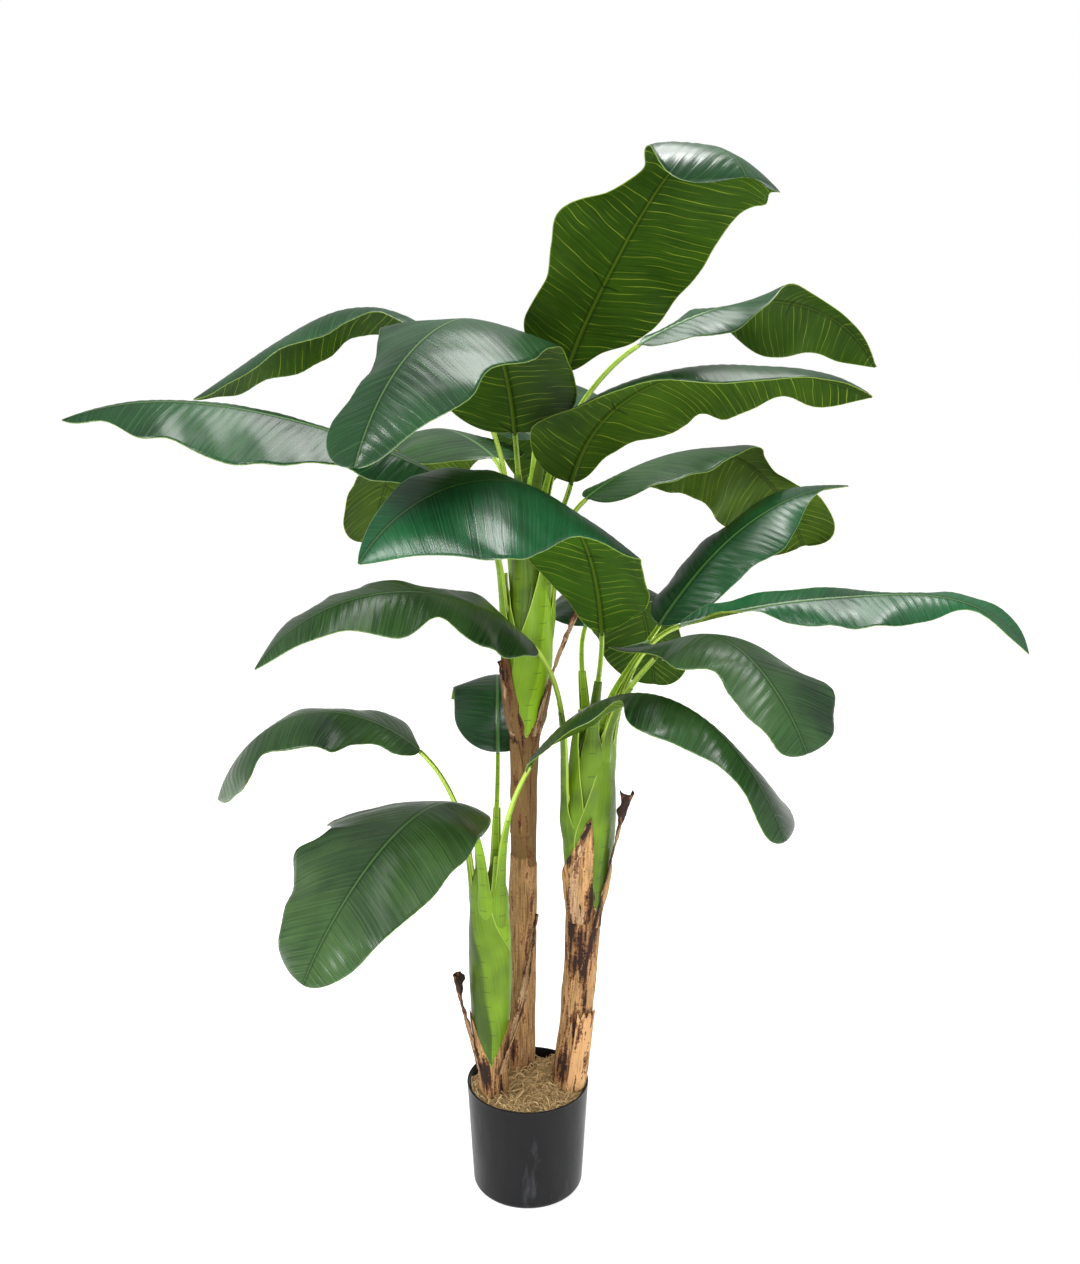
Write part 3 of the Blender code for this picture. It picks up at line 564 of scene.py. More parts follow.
def rungs(x, along, reach):
    """Moulded rungs across the middle: 1 on each line, every pitch, within reach of the middle."""
    phase = np.abs((along / RUNG_PITCH) % 1.0 - 0.5) * RUNG_PITCH
    return np.exp(-(phase / RUNG_HALF) ** 2) * smooth_step(1.0, 0.7, np.abs(x) / reach)


def full_turn(count):
    """So many angles (radians) evenly round a full turn, as one row."""
    return np.linspace(0, 2 * np.pi, count, endpoint=False)[None, :]


# ---------------------------------------------------------------- meshes

def ring_quads(count, size):
    """Quads between each ring and the next; ring k holds points k size to k size + size - 1."""
    k = np.arange(count - 1)[:, None] * size
    j = np.arange(size)[None, :]
    n = (j + 1) % size
    return stacked(k + j, k + n, k + size + n, k + size + j).reshape(-1, 4)


def add_to_scene(name, data):
    """Makes an object of a mesh, light or camera and links it to the scene."""
    made = bpy.data.objects.new(name, data)
    bpy.context.scene.collection.objects.link(made)
    return made


def add_piece(name, vertices, faces, finishes, stands_for=(), looks=None, marks=None):
    """Makes a mesh object from whole arrays, with attributes and materials, riding on the root body."""
    mesh = bpy.data.meshes.new(name)
    mesh.from_pydata(vertices.reshape(-1, 3), [], faces)
    for finish in finishes:
        mesh.materials.append(finish)
    if looks is not None:
        mesh.polygons.foreach_set("material_index", looks.astype(np.int32))
    for title, values in (marks or {}).items():
        kind, field = ("FLOAT_VECTOR", "vector") if values.shape[-1] == 3 else ("FLOAT", "value")
        layer = mesh.attributes.new(title, kind, "POINT")
        layer.data.foreach_set(field, np.ascontiguousarray(values, np.float32).ravel())
    mesh.shade_smooth()
    made = add_to_scene(name, mesh)
    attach(made, "root")
    if stands_for:
        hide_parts(*stands_for)


def thick_sheet(grid, thick):
    """Rings round a sheet: its outer row of points, then its inner row turned back."""
    shift = normals_of(grid) * thick[..., None] / 2
    return np.concatenate([grid + shift, (grid - shift)[:, ::-1]], axis=1)


def both_rows(values):
    """Values of a sheet's grid repeated for the rings of thick_sheet."""
    return np.concatenate([values, values[:, ::-1]], axis=1)


def add_sheet(name, rings, finishes, stands_for, marks, looks=None):
    """Closed sheet: quads between its rings, and between its two rows at the first and last ring.

    All quads are turned round if the shape's signed volume is below zero.
    """
    count, size = rings.shape[:2]
    j = np.arange(size // 2 - 1)
    first = stacked(j, size - 1 - j, size - 2 - j, j + 1)
    last = stacked(j, j + 1, size - 2 - j, size - 1 - j) + (count - 1) * size
    quads = np.vstack([ring_quads(count, size), first, last])
    a, b, c, d = (rings.reshape(-1, 3)[quads[:, k]] for k in range(4))
    volume = np.einsum("ij,ij->i", a, np.cross(b, c)) + np.einsum("ij,ij->i", a, np.cross(c, d))
    quads = quads[:, ::-1] if volume.sum() < 0 else quads
    add_piece(name, rings, quads, finishes, stands_for, looks, marks)


def capped(grid, low, high):
    """A tube's points or values as one list, with those of its two ends after them."""
    return np.vstack([grid.reshape(-1, grid.shape[-1]), [low, high]])


def add_tube(name, grid, ends, finish, stands_for, marks=None):
    """Closed tube: quads between its rings, and triangles from a centre point to each end ring.

    All faces are turned round if the first band faces the axis.
    """
    rows, columns = grid.shape[:2]
    vertices = capped(grid, *ends)
    j = np.arange(columns)
    n = (j + 1) % columns
    low, last = rows * columns, (rows - 1) * columns
    fans = np.vstack([stacked(low, n, j), stacked(low + 1, last + j, last + n)])
    faces = ring_quads(rows, columns).tolist() + fans.tolist()
    a, b, c = (vertices[k] for k in faces[0][:3])
    if np.dot(np.cross(b - a, c - a)[:2], (a - vertices[-2])[:2]) < 0:
        faces = [face[::-1] for face in faces]
    add_piece(name, vertices, faces, [finish], stands_for, marks=marks)


# ---------------------------------------------------------------- fronds

def outline(s, shape):
    """Half width as a share: a quarter-ellipse base, full, then narrowing as (1 - x^p)^q."""
    round_base, narrow_from, power, blunt = shape
    base = np.sqrt(np.clip(1 - (1 - np.clip(s / round_base, 0, 1)) ** 2.2, 0, 1))
    x = np.clip((s - narrow_from) / (1 - narrow_from), 0, 1)
    return base * np.clip(1 - x ** power, 0, 1) ** blunt


def half_widths(f, s, on_left):
    """Half width in metres on one side: the outline times that side's share."""
    wide = spread(f.wide_left if on_left else f.wide_right, s)
    return np.maximum(f.width / 2 * outline(s, f.shape) * wide, TIP_HALF_WIDTH)


def vein_place(along, far):
    """Where a side vein that passes here leaves the midrib: veins slant and curve to the tip."""
    return along - VEIN_SLANT * far - VEIN_CURVE * far ** 2


def blade_grid(f, s, across, seed):
    """Middle surface of a blade: a row for each station s, a column across from right to left.

    At reach r a half blade has bent down by fold (0.35 + 1.3 r) and its place is the integral of
    that bend's cosine and sine. Its margin ripples as a sine of the station, with smaller random
    ripples, and shallow pleats follow the side veins.
    """
    settings = bpy.context.scene.banana_fronds
    rib = run_from(f.base, f.heading, f.rise, f.length, s)
    left, up = sides(spread(f.heading, s), spread(f.rise, s), spread(f.roll, s))
    grid = np.empty((len(s), len(across), 3))
    far = np.empty(grid.shape[:2])
    shape = outline(s, f.shape)[:, None]
    for side, columns, fold, lift in ((-1.0, across < 0, f.fold_right, f.lift_right),
                                      (1.0, across >= 0, f.fold_left, f.lift_left)):
        on_left = side > 0
        v = np.abs(across[columns])[None, :]
        r = v[..., None] * (np.arange(BEND_STEPS) + 0.5) / BEND_STEPS
        bend = np.radians(spread(fold, s)[:, None, None] * (FOLD_AT_RIB + FOLD_GROWTH * r))
        half = half_widths(f, s, on_left)[:, None]
        out, down = half * v * np.cos(bend).mean(-1), half * v * np.sin(bend).mean(-1)
        turn = 2 * np.pi * (WAVES * s + (RIPPLE_OFFSET if on_left else 0.0))[:, None]
        ripple = WAVE_HEIGHT * v ** RIPPLE_POWER * np.sin(turn) * shape
        ripple = ripple + spread(lift, s)[:, None] * MILLIMETRE * v ** RIPPLE_POWER
        along = np.broadcast_to((s * f.length)[:, None], out.shape)
        ripple = ripple + settings.small_ripple * v ** 1.5 * shape * ripples(
            seed + on_left, side * half * v, along, *RIPPLE_LENGTHS)
        pleat = np.sin(2 * np.pi * vein_place(along, half * v) / settings.pleat_pitch
                       + 1.7 * ripples(seed + 7, half * v, along, *PLEAT_WANDER))
        ripple = ripple + settings.pleat_depth * pleat * smooth_step(0.02, 0.2, v) * (1 - 0.5 * v) * shape
        grid[:, columns] = (rib[:, None] + side * left[:, None] * out[..., None]
                            + up[:, None] * (ripple - down)[..., None])
        far[:, columns] = side * half * v
    return grid, far, up


def rib_profile(far, s, wide, tall):
    """Height of the midrib over the blade: tall exp(-(x / wide)^2), both falling off to the tip."""
    width = (wide * (1 - 0.72 * s))[:, None]
    return (tall * (1 - 0.8 * s))[:, None] * np.exp(-(far / width) ** 2)


def stalk_start(f):
    """Where a stalk starts: on its stem, out by the thickness of its foot."""
    stem = STEMS[f.stem]
    radius = stem_radius(stem, f.height) + STALK_FOOT_THICK + CLEAR
    return stem_centre(stem, f.height) + radius * direction(f.around, 0.0)


def stalk_frame(f, u):
    """Points, left and up along a stalk: a cubic from the stem, straight up, into the blade's run."""
    a, b = stalk_start(f), np.asarray(f.base)
    run = np.linalg.norm(b - a)
    first = run * np.array([0.0, 0.0, 1.0])
    last = run * direction(f.heading[0], f.rise[0])
    points = ((2 * u ** 3 - 3 * u ** 2 + 1) * a + (u ** 3 - 2 * u ** 2 + u) * first
              + (3 * u ** 2 - 2 * u ** 3) * b + (u ** 3 - u ** 2) * last)
    tangent = unit((6 * u ** 2 - 6 * u) * a + (3 * u ** 2 - 4 * u + 1) * first
                   + (6 * u - 6 * u ** 2) * b + (3 * u ** 2 - 2 * u) * last)
    turn = np.radians([f.around, f.heading[0]])
    at_stem, at_blade = stacked(-np.sin(turn), np.cos(turn), 0.0)
    left = (1 - u) * at_stem + u * at_blade
    left = unit(left - tangent * (tangent * left).sum(axis=1, keepdims=True))
    return points, *rolled(left, np.cross(tangent, left), np.radians(f.roll[0]) * u)


def stalk_rings(f, across):
    """Channelled stalk: its section is open above, w v across and h v^2 up, thickest in the middle.

    Its foot is sunk into its leaf base.
    """
    u = np.linspace(0.0, STALK_END, STALK_ROWS)[:, None]
    points, left, up = stalk_frame(f, u)
    half, deep, body = (spread(values, u) for values in STALK_SECTION)
    v = across[None, :]
    x = half * v
    along = u * np.linalg.norm(np.asarray(f.base) - stalk_start(f))
    sunk = STALK_FOOT_THICK * (1 - smooth_step(0.0, 0.14, u))
    upper = deep * v ** 2 - deep * 0.3 + sunk
    lower = (upper - body * np.sqrt(np.clip(1 - v ** 2, 0, 1)) ** 0.9 - 0.0012
             + 0.0004 * rungs(x, along, 0.6 * half))
    top, under = (points[:, None] + x[..., None] * left[:, None] + h[..., None] * up[:, None]
                  for h in (upper, lower))
    return (np.concatenate([top, under[:, ::-1]], axis=1), both_rows(stacked(x, along, u)),
            both_rows(half - np.abs(x)))


def add_frond(name, f, seed, finishes):
    """A channelled stalk that runs on into its blade, in one closed sheet.

    The rows stand closer at the base and the tip, the columns at the midrib. The blade thins to its
    margins, with a groove over the midrib and a round rib under it.
    """
    settings = bpy.context.scene.banana_fronds
    t = np.linspace(0.0, 1.0, BLADE_ROWS)
    s = BLADE_END * (0.6 * t + 0.4 * (1 - np.cos(np.pi * t)) / 2)
    a = np.linspace(-1.0, 1.0, BLADE_COLUMNS)
    across = np.sign(a) * np.abs(a) ** CROWDING
    grid, far, up = blade_grid(f, s, across, seed)
    normals = normals_of(grid)
    normals *= np.sign((normals * up[:, None]).sum(-1, keepdims=True)[:, BLADE_COLUMNS // 2:][:, :1])
    thick = settings.blade_thick * (1 - 0.4 * across ** 2)[None, :, None]
    groove = rib_profile(far, s, GROOVE_HALF, GROOVE_DEPTH)[..., None]
    ridge = rib_profile(far, s, RIB_HALF, settings.rib_height)[..., None]
    upper, lower = grid + normals * (thick / 2 - groove), grid - normals * (thick / 2 + ridge)
    place = stacked(far, vein_place((s * f.length)[:, None], np.abs(far)) + 1.7 * seed, s[:, None])
    half = np.where(across < 0, half_widths(f, s, False)[:, None], half_widths(f, s, True)[:, None])
    stalk, stalk_place, stalk_edge = stalk_rings(f, a)
    rings = np.concatenate([stalk, np.concatenate([upper, lower[:, ::-1]], axis=1)])
    count, size = rings.shape[:2]
    looks = np.full((count - 1, size), UNDER)
    looks[:, :BLADE_COLUMNS - 1] = UPPER
    looks[:STALK_ROWS - 1] = STALK
    ends = size // 2 - 1
    tone = np.where(np.arange(count) < STALK_ROWS, STALK_TONE, f.tone)[:, None, None]
    add_sheet(name, rings, finishes, [name], {
        "blade": np.concatenate([stalk_place, both_rows(place)]),
        "edge": np.concatenate([stalk_edge, both_rows(half - np.abs(far))])[..., None],
        "tone": tone * np.ones((1, size, 1))}, np.array([*looks.ravel(), *[STALK] * ends, *[UNDER] * ends]))


# ---------------------------------------------------------------- stems

def trunk_top(title, turn, seed):
    """Height of the torn top edge over the turn: its listed points joined up, with small teeth."""
    around, height = np.transpose(TOP_EDGES[title])
    teeth = ripples(seed, 0.03 * np.cos(turn), 0.03 * np.sin(turn), 0.010, 0.010)
    return np.interp(away_from(turn, 0.0), around, height) + 0.0025 * teeth


def add_trunk(title, stem, seed, finish):
    """Bark skin up to its notched edge: radius plus fibre ridges, lumps and the proud cut wraps.

    Above the bark's own height it lies on the green stem, lifted a little more towards each tip.
    """
    settings = bpy.context.scene.banana_bark
    low, high = stem.brown_heights[0], stem.brown_heights[-1]
    turn = full_turn(TRUNK_COLUMNS)
    top = trunk_top(title, turn, seed + 9)
    z = low + (top - low) * np.linspace(0, 1, int((top.max() - low) / STEM_STEP))[:, None]
    radius = (stem_radius(stem, z) + settings.flap_lift * smooth_step(-0.02, 0.03, z - high)
              + 0.05 * np.clip(z - high, 0, None) ** 1.2)
    arc = turn * TRUNK_ARC + 0 * z
    x, y = TRUNK_ARC * np.cos(turn), TRUNK_ARC * np.sin(turn)
    fibre = ripples(seed, x, z, 0.0065, 0.16) * ripples(seed + 1, y, z, 0.008, 0.10)
    relief = settings.fibre_depth * fibre + settings.lump_depth * ripples(seed + 2, x + y / 2, z, 0.05, 0.12)
    above, below = BARK_TONES[title]
    tone = np.full(relief.shape, above)
    ragged = 0.0012 * ripples(seed + 5, arc, 0 * z, 0.012, 1.0)
    for around, half, edge, proud in BARK_WRAPS[title]:
        inside = smooth_step(half + 2, half, np.abs(away_from(turn, around)))
        covered = inside * smooth_step(edge + 0.0015, edge, z + ragged)
        relief = relief + proud * covered
        tone = tone + (below - above) * np.clip(covered, 0, 1) * (tone == above)
    dark = np.zeros(relief.shape)
    for around, height, half, tall, strength in STAINS[title]:
        patch = strength * np.exp(-(away_from(turn, around) / half) ** 2 - ((z - height) / tall) ** 2)
        dark = np.maximum(dark, patch)
    dark, tone, arc, z, skin = (np.vstack([v, v[-1:]]) for v in (dark, tone, arc, z, radius + relief))
    skin[-1] -= BARK_THICK
    add_tube("trunk_" + title, round_about(stem, z, turn, skin),
             [stem_centre(stem, low), stem_centre(stem, high)], finish, ["trunk_" + title],
             {"bark": capped(stacked(arc, z, dark), (0, low, 0.5), (0, high, 0.5)),
              "tone": capped(tone[..., None], [0.5], [0.5])})


def add_pseudostem(title, stem, seed, finish):
    """Green core of packed leaf bases: its radius swells in shallow lobes that twist as they rise."""
    low, high = stem.green_heights[0] - 0.02, stem.green_heights[-1]
    z = np.linspace(low, high, int((high - low) / STEM_STEP))[:, None]
    turn = full_turn(STEM_COLUMNS)
    radius = core_radius(stem, z) - 0.004 * smooth_step(0.012, -0.004, z - stem.green_heights[0])
    lobes = 0.0012 * np.cos(3 * turn + 9 * z + seed) + 0.0006 * ripples(seed, turn * STEM_ARC, z, 0.05, 0.2)
    place = capped(stacked(turn * STEM_ARC, z, (z - low) / (high - low)), (0, low, 0), (0, high, 1))
    plain = np.ones((len(place), 1))
    add_tube("pseudostem_" + title, round_about(stem, z, turn, radius + lobes - 0.0012),
             [stem_centre(stem, low), stem_centre(stem, high)], finish,
             ["pseudostem_" + title], {"blade": place, "edge": 0.02 * plain, "tone": 0.1 * plain})


def add_sheath(name, sheath, thick, finish, seed, tones_and_painted_shade, fray=0.0):
    """Shell round the stem: each row spans its half angle either side of its middle, on its lift.

    A low keel runs up its middle, with a tone on either side of it, and a frayed one has a ragged tip.
    On the green sheaths the two tones are painted light and painted shade; on the dry wraps both are one
    bark tone.
    """
    stem = STEMS[sheath.stem]
    tall = sheath.tip - sheath.foot
    share = np.linspace(0.0, 1.0, int(tall / SHEATH_STEP) + 8)[:, None]
    sweep = np.linspace(1, -1, SHEATH_COLUMNS)[None, :]
    half = np.radians(spread(sheath.half_angles, share))
    z = sheath.foot + tall * share + 0.0 * sweep
    z = z + fray * share ** 6 * ripples(seed, sweep * 0.03, 0 * sweep, 0.012, 1.0)
    core = stem_radius(stem, np.clip(z, sheath.foot, sheath.tip))
    x = half * sweep * core
    along = z + RUNG_SHIFT * seed
    keel = 0.8 * np.clip(spread(sheath.lift, share), 0, None) * np.clip(1 - np.abs(sweep) / 0.9, 0, 1)
    wave = 0.0005 * ripples(seed + 3, x, z, 0.03, 0.05) * (0.3 + np.abs(sweep))
    radius = core + spread(sheath.lift, share) + thick / 2 + keel + wave
    if not fray:
        radius = radius - 0.0005 * rungs(x, along, 0.007)
    grid = round_about(stem, z, np.radians(spread(sheath.around, share)) + half * sweep, radius)
    rings = thick_sheet(grid, thick * (1 - 0.5 * np.abs(sweep) ** 3))
    # tone either side of the keel: painted light and painted shade on the green sheaths, one even bark tone
    # on the dry wraps
    tone = tones_and_painted_shade[0] + (tones_and_painted_shade[1] - tones_and_painted_shade[0]) * smooth_step(-0.05, 0.05, sweep) + 0.0 * z
    marks = {"tone": both_rows(tone[..., None])}
    if fray:
        marks["bark"] = both_rows(stacked(x, along, 0.1))
    else:
        edge = np.minimum(half * core * (1 - np.abs(sweep)), (1 - share) * tall + 0.0005)
        marks.update(blade=both_rows(stacked(x, along, share)), edge=both_rows(edge[..., None]))
    add_sheet(name, rings, [finish], [name], marks)


def add_leaf_base(name, f, seed, finish):
    """Leaf base: an arc round the stem that narrows, leaves the stem and closes round the stalk.

    Up to half of its length it lies on the stem below its stalk, where it bulges by 9 mm to take the
    stalk's foot, then it follows the stalk and stays a little outside it. Centre and outward
    direction pass over from the one to the other between 0.3 and 0.75. Its radius slims from the
    stem's to the stalk's between 0.08 and 0.62, with its keel kept on the stem's outside.
    """
    stem = STEMS[f.stem]
    draw = np.random.default_rng(seed)
    share = np.linspace(0.0, 1.0, LEAF_BASE_ROWS)[:, None]
    sweep = np.linspace(1, -1, LEAF_BASE_COLUMNS)[None, :]
    drop = draw.uniform(*LEAF_BASE_DROP)
    z = f.height - drop * np.clip(1 - 2 * share, 0, 1)
    up_stalk = np.clip(2 * share - 1, 0, 1)
    points, left, up = stalk_frame(f, LEAF_BASE_REACH * up_stalk)
    leaves = smooth_step(0.30, 0.75, share)
    out, side = direction(f.around, 0.0), direction(f.around + 90, 0.0)
    on_stalk = spread(LEAF_BASE_RADII, up_stalk)
    cover = spread(LEAF_BASE_COVER, up_stalk)
    emerge = smooth_step(0.0, 0.34, share)
    hull = ((1 - emerge) * core_radius(stem, z) + emerge * stem_radius(stem, z)
            + spread(LEAF_BASE_LIFT, share) + LEAF_BASE_BULGE * smooth_step(0.18, 0.50, share))
    slim = smooth_step(0.08, 0.62, share)
    radius = (1 - slim) * hull + slim * on_stalk
    on_stem = stem_centre(stem, z[:, 0]) + out * (hull - radius)
    centre = (1 - leaves) * on_stem + leaves * (points + up * (on_stalk - cover))
    outward = unit((1 - leaves) * out - leaves * up)
    across = unit((1 - leaves) * side + leaves * left * np.sign((left * side).sum(axis=1, keepdims=True)))
    half = np.radians(spread(LEAF_BASE_HALF_ANGLES, share))
    turn = half * sweep
    x = turn * radius
    along = (z[0, 0] + (drop + 0.09) * share + RUNG_SHIFT * seed) + 0 * x
    keel = 0.0012 * np.clip(1 - np.abs(sweep) / 0.9, 0, 1) * (1 - leaves)
    reach = radius + keel - 0.0004 * rungs(x, along, 0.006)
    grid = centre[:, None] + reach[..., None] * (np.cos(turn)[..., None] * outward[:, None]
                                                 + np.sin(turn)[..., None] * across[:, None])
    rings = thick_sheet(grid, LEAF_BASE_THICK * (1 - 0.6 * np.abs(sweep) ** 3))
    edge = half * radius * (1 - np.abs(sweep)) + 0.004 * smooth_step(0.45, 0.20, share)
    tone = draw.uniform(*BASE_TONES[f.stem]) * np.ones(rings.shape[:2])
    add_sheet(name, rings, [finish], (), {
        "blade": both_rows(stacked(x, along, share)), "edge": both_rows(edge[..., None]),
        "tone": tone[..., None]})


def add_strip(name, strip, seed, finish):
    """Narrow cupped plate along its path, crumpled by random ripples, curling towards its tip."""
    s = np.linspace(0.0, 1.0, STRIP_ROWS)
    stem = STEMS[strip.stem]
    cup = np.radians(STRIP_CUP)
    radius = (through(stem.brown_heights, stem.brown_radii, strip.height)
              + strip.widths[0] / 2 * (1 - np.cos(cup)) - strip.inset)
    foot = (stem_centre(stem, strip.height)
            + (radius + STRIP_THICK / 2 + 2 * CLEAR) * direction(strip.around, 0.0))
    path = run_from(foot, strip.heading, strip.rise, strip.length, s)
    left, up = sides(spread(strip.heading, s), spread(strip.rise, s), 30 * np.sin(5 * s) * s)
    half = (spread(strip.widths, s) / 2 * (1 + 0.25 * ripples(seed, s, 0 * s, 0.16, 1.0)))[:, None]
    t = np.linspace(-1, 1, STRIP_COLUMNS)[None, :]
    along = (s * strip.length)[:, None]
    curl = cup * (1 + 1.6 * s[:, None] ** 2)
    crumple = 0.0011 * ripples(seed + 2, half * t, along, 0.008, 0.022)
    x = half * np.sin(curl * t) / np.sin(np.minimum(curl, 1.5))
    y = half * (1 - np.cos(curl * t)) + crumple * (0.3 + s[:, None])
    grid = path[:, None] + left[:, None] * x[..., None] + up[:, None] * y[..., None]
    dark = strip.dark + 0.30 * np.abs(t) ** 3 + 0.45 * s[:, None] ** 5
    marks = both_rows(stacked(half * t, along + 0.41 * seed, dark))
    add_sheet(name, thick_sheet(grid, np.full(x.shape, STRIP_THICK)), [finish], [name],
              {"bark": marks, "tone": 0.20 + 0 * marks[..., :1]})


# ---------------------------------------------------------------- pot and moss

def pot_radius(z):
    """Outer radius of the pot's straight wall at a height."""
    return POT_BASE_RADIUS + (POT_RIM_RADIUS - POT_BASE_RADIUS) * z / POT_HEIGHT


# Radius of the wall's inside where the moss meets it
MOSS_RADIUS = pot_radius(MOSS_EDGE) - POT_WALL


def add_pot(finish):
    """Turns the wall's profile about the axis: rounded bottom edge, straight wall, rounded rim."""
    edge = [(pot_radius(POT_EDGE) - POT_EDGE * (1 - np.sin(t)), POT_EDGE * (1 - np.cos(t)))
            for t in np.radians(np.linspace(0, 90, 10))]
    wall = [(pot_radius(z), z) for z in np.linspace(0.02, POT_HEIGHT - 0.002, 40)]
    half = POT_WALL / 2
    rim = [(POT_RIM_RADIUS - half + half * np.cos(t), POT_HEIGHT - half + half * np.sin(t))
           for t in np.radians(np.linspace(0, 180, 9))]
    inside = [(pot_radius(z) - POT_WALL, z) for z in np.linspace(POT_HEIGHT - 0.004, 2 * POT_EDGE, 24)]
    profile = np.array(edge + wall + rim + inside + [(pot_radius(0) - POT_EDGE, POT_FLOOR)])
    turn = full_turn(POT_SIDES)
    r, z = profile[:, :1], profile[:, 1:]
    add_tube("pot_wall", stacked(r * np.cos(turn), r * np.sin(turn), z), [(0, 0, 0), (0, 0, POT_FLOOR)],
             finish, ["pot"])


def mound_height(x, y):
    """Moss surface: a dome from the rim level to the crown, a heap, a hollow behind, random humps."""
    r = np.hypot(x, y) / MOSS_RADIUS
    dome = MOSS_EDGE + (MOSS_CROWN - MOSS_EDGE) * np.sqrt(np.clip(1 - r ** 2, 0, 1))
    heap = HEAP_HEIGHT * np.exp(-((x - HEAP_PLACE[0]) ** 2 + (y - HEAP_PLACE[1]) ** 2) / HEAP_SPREAD ** 2)
    hollow = HOLLOW_DEPTH * smooth_step(0.035, 0.085, y - 0.4 * x)
    humps = 0.0030 * ripples(MOUND_SEED, x, y, 0.045, 0.045)
    return dome - hollow + (heap + humps) * np.clip(1 - r ** 2, 0, 1)


def add_moss_bed(finish):
    """Bed under the fibres: rings of the mound's height, closed below at the filling."""
    turn = full_turn(MOSS_SIDES)
    r = np.linspace(MOSS_RADIUS - 0.0003, 0.002, MOSS_ROWS)[:, None]
    x, y = r * np.cos(turn), r * np.sin(turn)
    top = stacked(x, y, mound_height(x, y) + 0.0012 * ripples(BED_SEED, x, y, 0.008, 0.008))
    grid = np.concatenate([stacked(x[:1], y[:1], MOSS_FOOT), top])
    # the bed takes the shaded brown: painted shade in the gaps between the strands
    tone = np.full((grid.shape[0] * grid.shape[1] + 2, 1), -0.2)
    add_tube("moss_bed", grid, [(0, 0, MOSS_FOOT), (0, 0, float(mound_height(0.0, 0.0)))], finish,
             (), {"tone": tone})


def add_moss_fibres(finish):
    """Curly strands strewn over the mound, each a three-sided tube along a rising and falling arc.

    Strand k starts at a random place, and at u from 0 to 1 it has gone length u along a heading
    that turns by bend u, and stands lift sin(pi u) over the mound.
    """
    settings = bpy.context.scene.banana_moss
    draw = np.random.default_rng(STRAND_SEED)
    count, steps, corners = settings.strands, STRAND_STEPS, STRAND_CORNERS
    rim = MOSS_RADIUS - 0.004
    r = rim * np.sqrt(draw.uniform(0, 1, count))
    a = draw.uniform(0, 2 * np.pi, count)
    length = settings.strand_length * draw.uniform(0.4, 1.5, count)
    heading = draw.uniform(0, 2 * np.pi, count)
    bend = draw.normal(0, 3.2, count)
    lift = draw.uniform(-0.001, 0.013, count) * draw.choice((1, 1, 1, 1.7), count)
    u = np.linspace(0, 1, steps)[None, :]
    angle = heading[:, None] + bend[:, None] * u
    step = length[:, None] / (steps - 1)
    x = (r * np.cos(a))[:, None] + np.cumsum(np.cos(angle) * step, axis=1)
    y = (r * np.sin(a))[:, None] + np.cumsum(np.sin(angle) * step, axis=1)
    wave = draw.uniform(0.0004, 0.0016, count)[:, None] * np.sin(
        u * draw.uniform(6, 22, count)[:, None] + draw.uniform(0, 6, count)[:, None])
    x, y = x + wave * np.sin(angle), y - wave * np.cos(angle)
    shrink = np.minimum(1.0, rim / np.maximum(np.hypot(x, y), 1e-6))
    x, y = x * shrink, y * shrink
    path = stacked(x, y, mound_height(x, y) + 0.0010 + lift[:, None] * np.sin(np.pi * u) + 0.6 * wave)
    tangent = unit(np.gradient(path, axis=1))
    flat = np.cross(tangent, (0.0, 0.0, 1.0))
    flat /= np.maximum(np.linalg.norm(flat, axis=-1, keepdims=True), 1e-9)
    rise = np.cross(flat, tangent)
    wide = (settings.strand_width / 2 * draw.uniform(0.5, 1.5, count))[:, None, None, None]
    wide = wide * (1 - 0.75 * np.abs(2 * u - 1) ** 3)[..., None, None]
    turn = full_turn(corners)[..., None]
    section = np.cos(turn) * flat[:, :, None] + 0.6 * np.sin(turn) * rise[:, :, None]
    tube = path[:, :, None] + wide * section
    first = np.arange(count)[:, None] * steps * corners
    last = first + (steps - 1) * corners
    quads = (ring_quads(steps, corners)[None] + first[..., None]).reshape(-1, 4)[:, ::-1]
    ends = np.concatenate([first + (0, 1, 2), last + (2, 1, 0)])
    # random tone of each strand between the shaded brown and the sunny straw: partly the strands' own
    # colours, partly painted light and shade
    tone = 0.45 + 0.55 * draw.uniform(0, 1, count)[:, None, None] + np.zeros((1, steps, corners))
    add_piece("moss_fibres", tube, quads.tolist() + ends.tolist(), [finish], ["moss"],
              marks={"tone": tone.reshape(-1, 1)})


# ---------------------------------------------------------------- finishes

def linear(code):
    """Linear RGBA of an sRGB hex colour."""
    share = np.array([int(code[i:i + 2], 16) for i in (1, 3, 5)]) / 255
    value = np.where(share <= 0.04045, share / 12.92, ((share + 0.055) / 1.055) ** 2.4)
    return (*(float(v) for v in value), 1.0)


def dimmed(colour, share):
    """The colour at a share of its strength."""
    return (*(share * c for c in colour[:3]), 1.0)


def add_node(tree, kind, *inputs, out=None, **settings):
    """Adds a node with its settings and links, and gives one of its outputs, by default the first.

    The inputs go to the sockets that the settings leave open, in their order. Each is a value,
    another node's output, or None where the socket keeps its own value.
    """
    made = tree.nodes.new("ShaderNode" + kind)
    for name, value in settings.items():
        setattr(made, name, value)
    for socket, value in zip([s for s in made.inputs if s.enabled], inputs):
        if isinstance(value, bpy.types.NodeSocket):
            tree.links.new(value, socket)
        elif value is not None:
            socket.default_value = value
    return made.outputs[out] if out else next(s for s in made.outputs if s.enabled)


def new_finish(name, roughness=0.5, **sockets):
    """Material, its own add_node, and its Principled shader with the sockets that hold all over."""
    made = bpy.data.materials.new(name)
    made.use_nodes = True
    surface = made.node_tree.nodes["Principled BSDF"]
    for socket, value in {"Roughness": roughness, "Metallic": 0.0, **sockets}.items():
        surface.inputs[socket.replace("_", " ")].default_value = value
    return made, partial(add_node, made.node_tree), surface


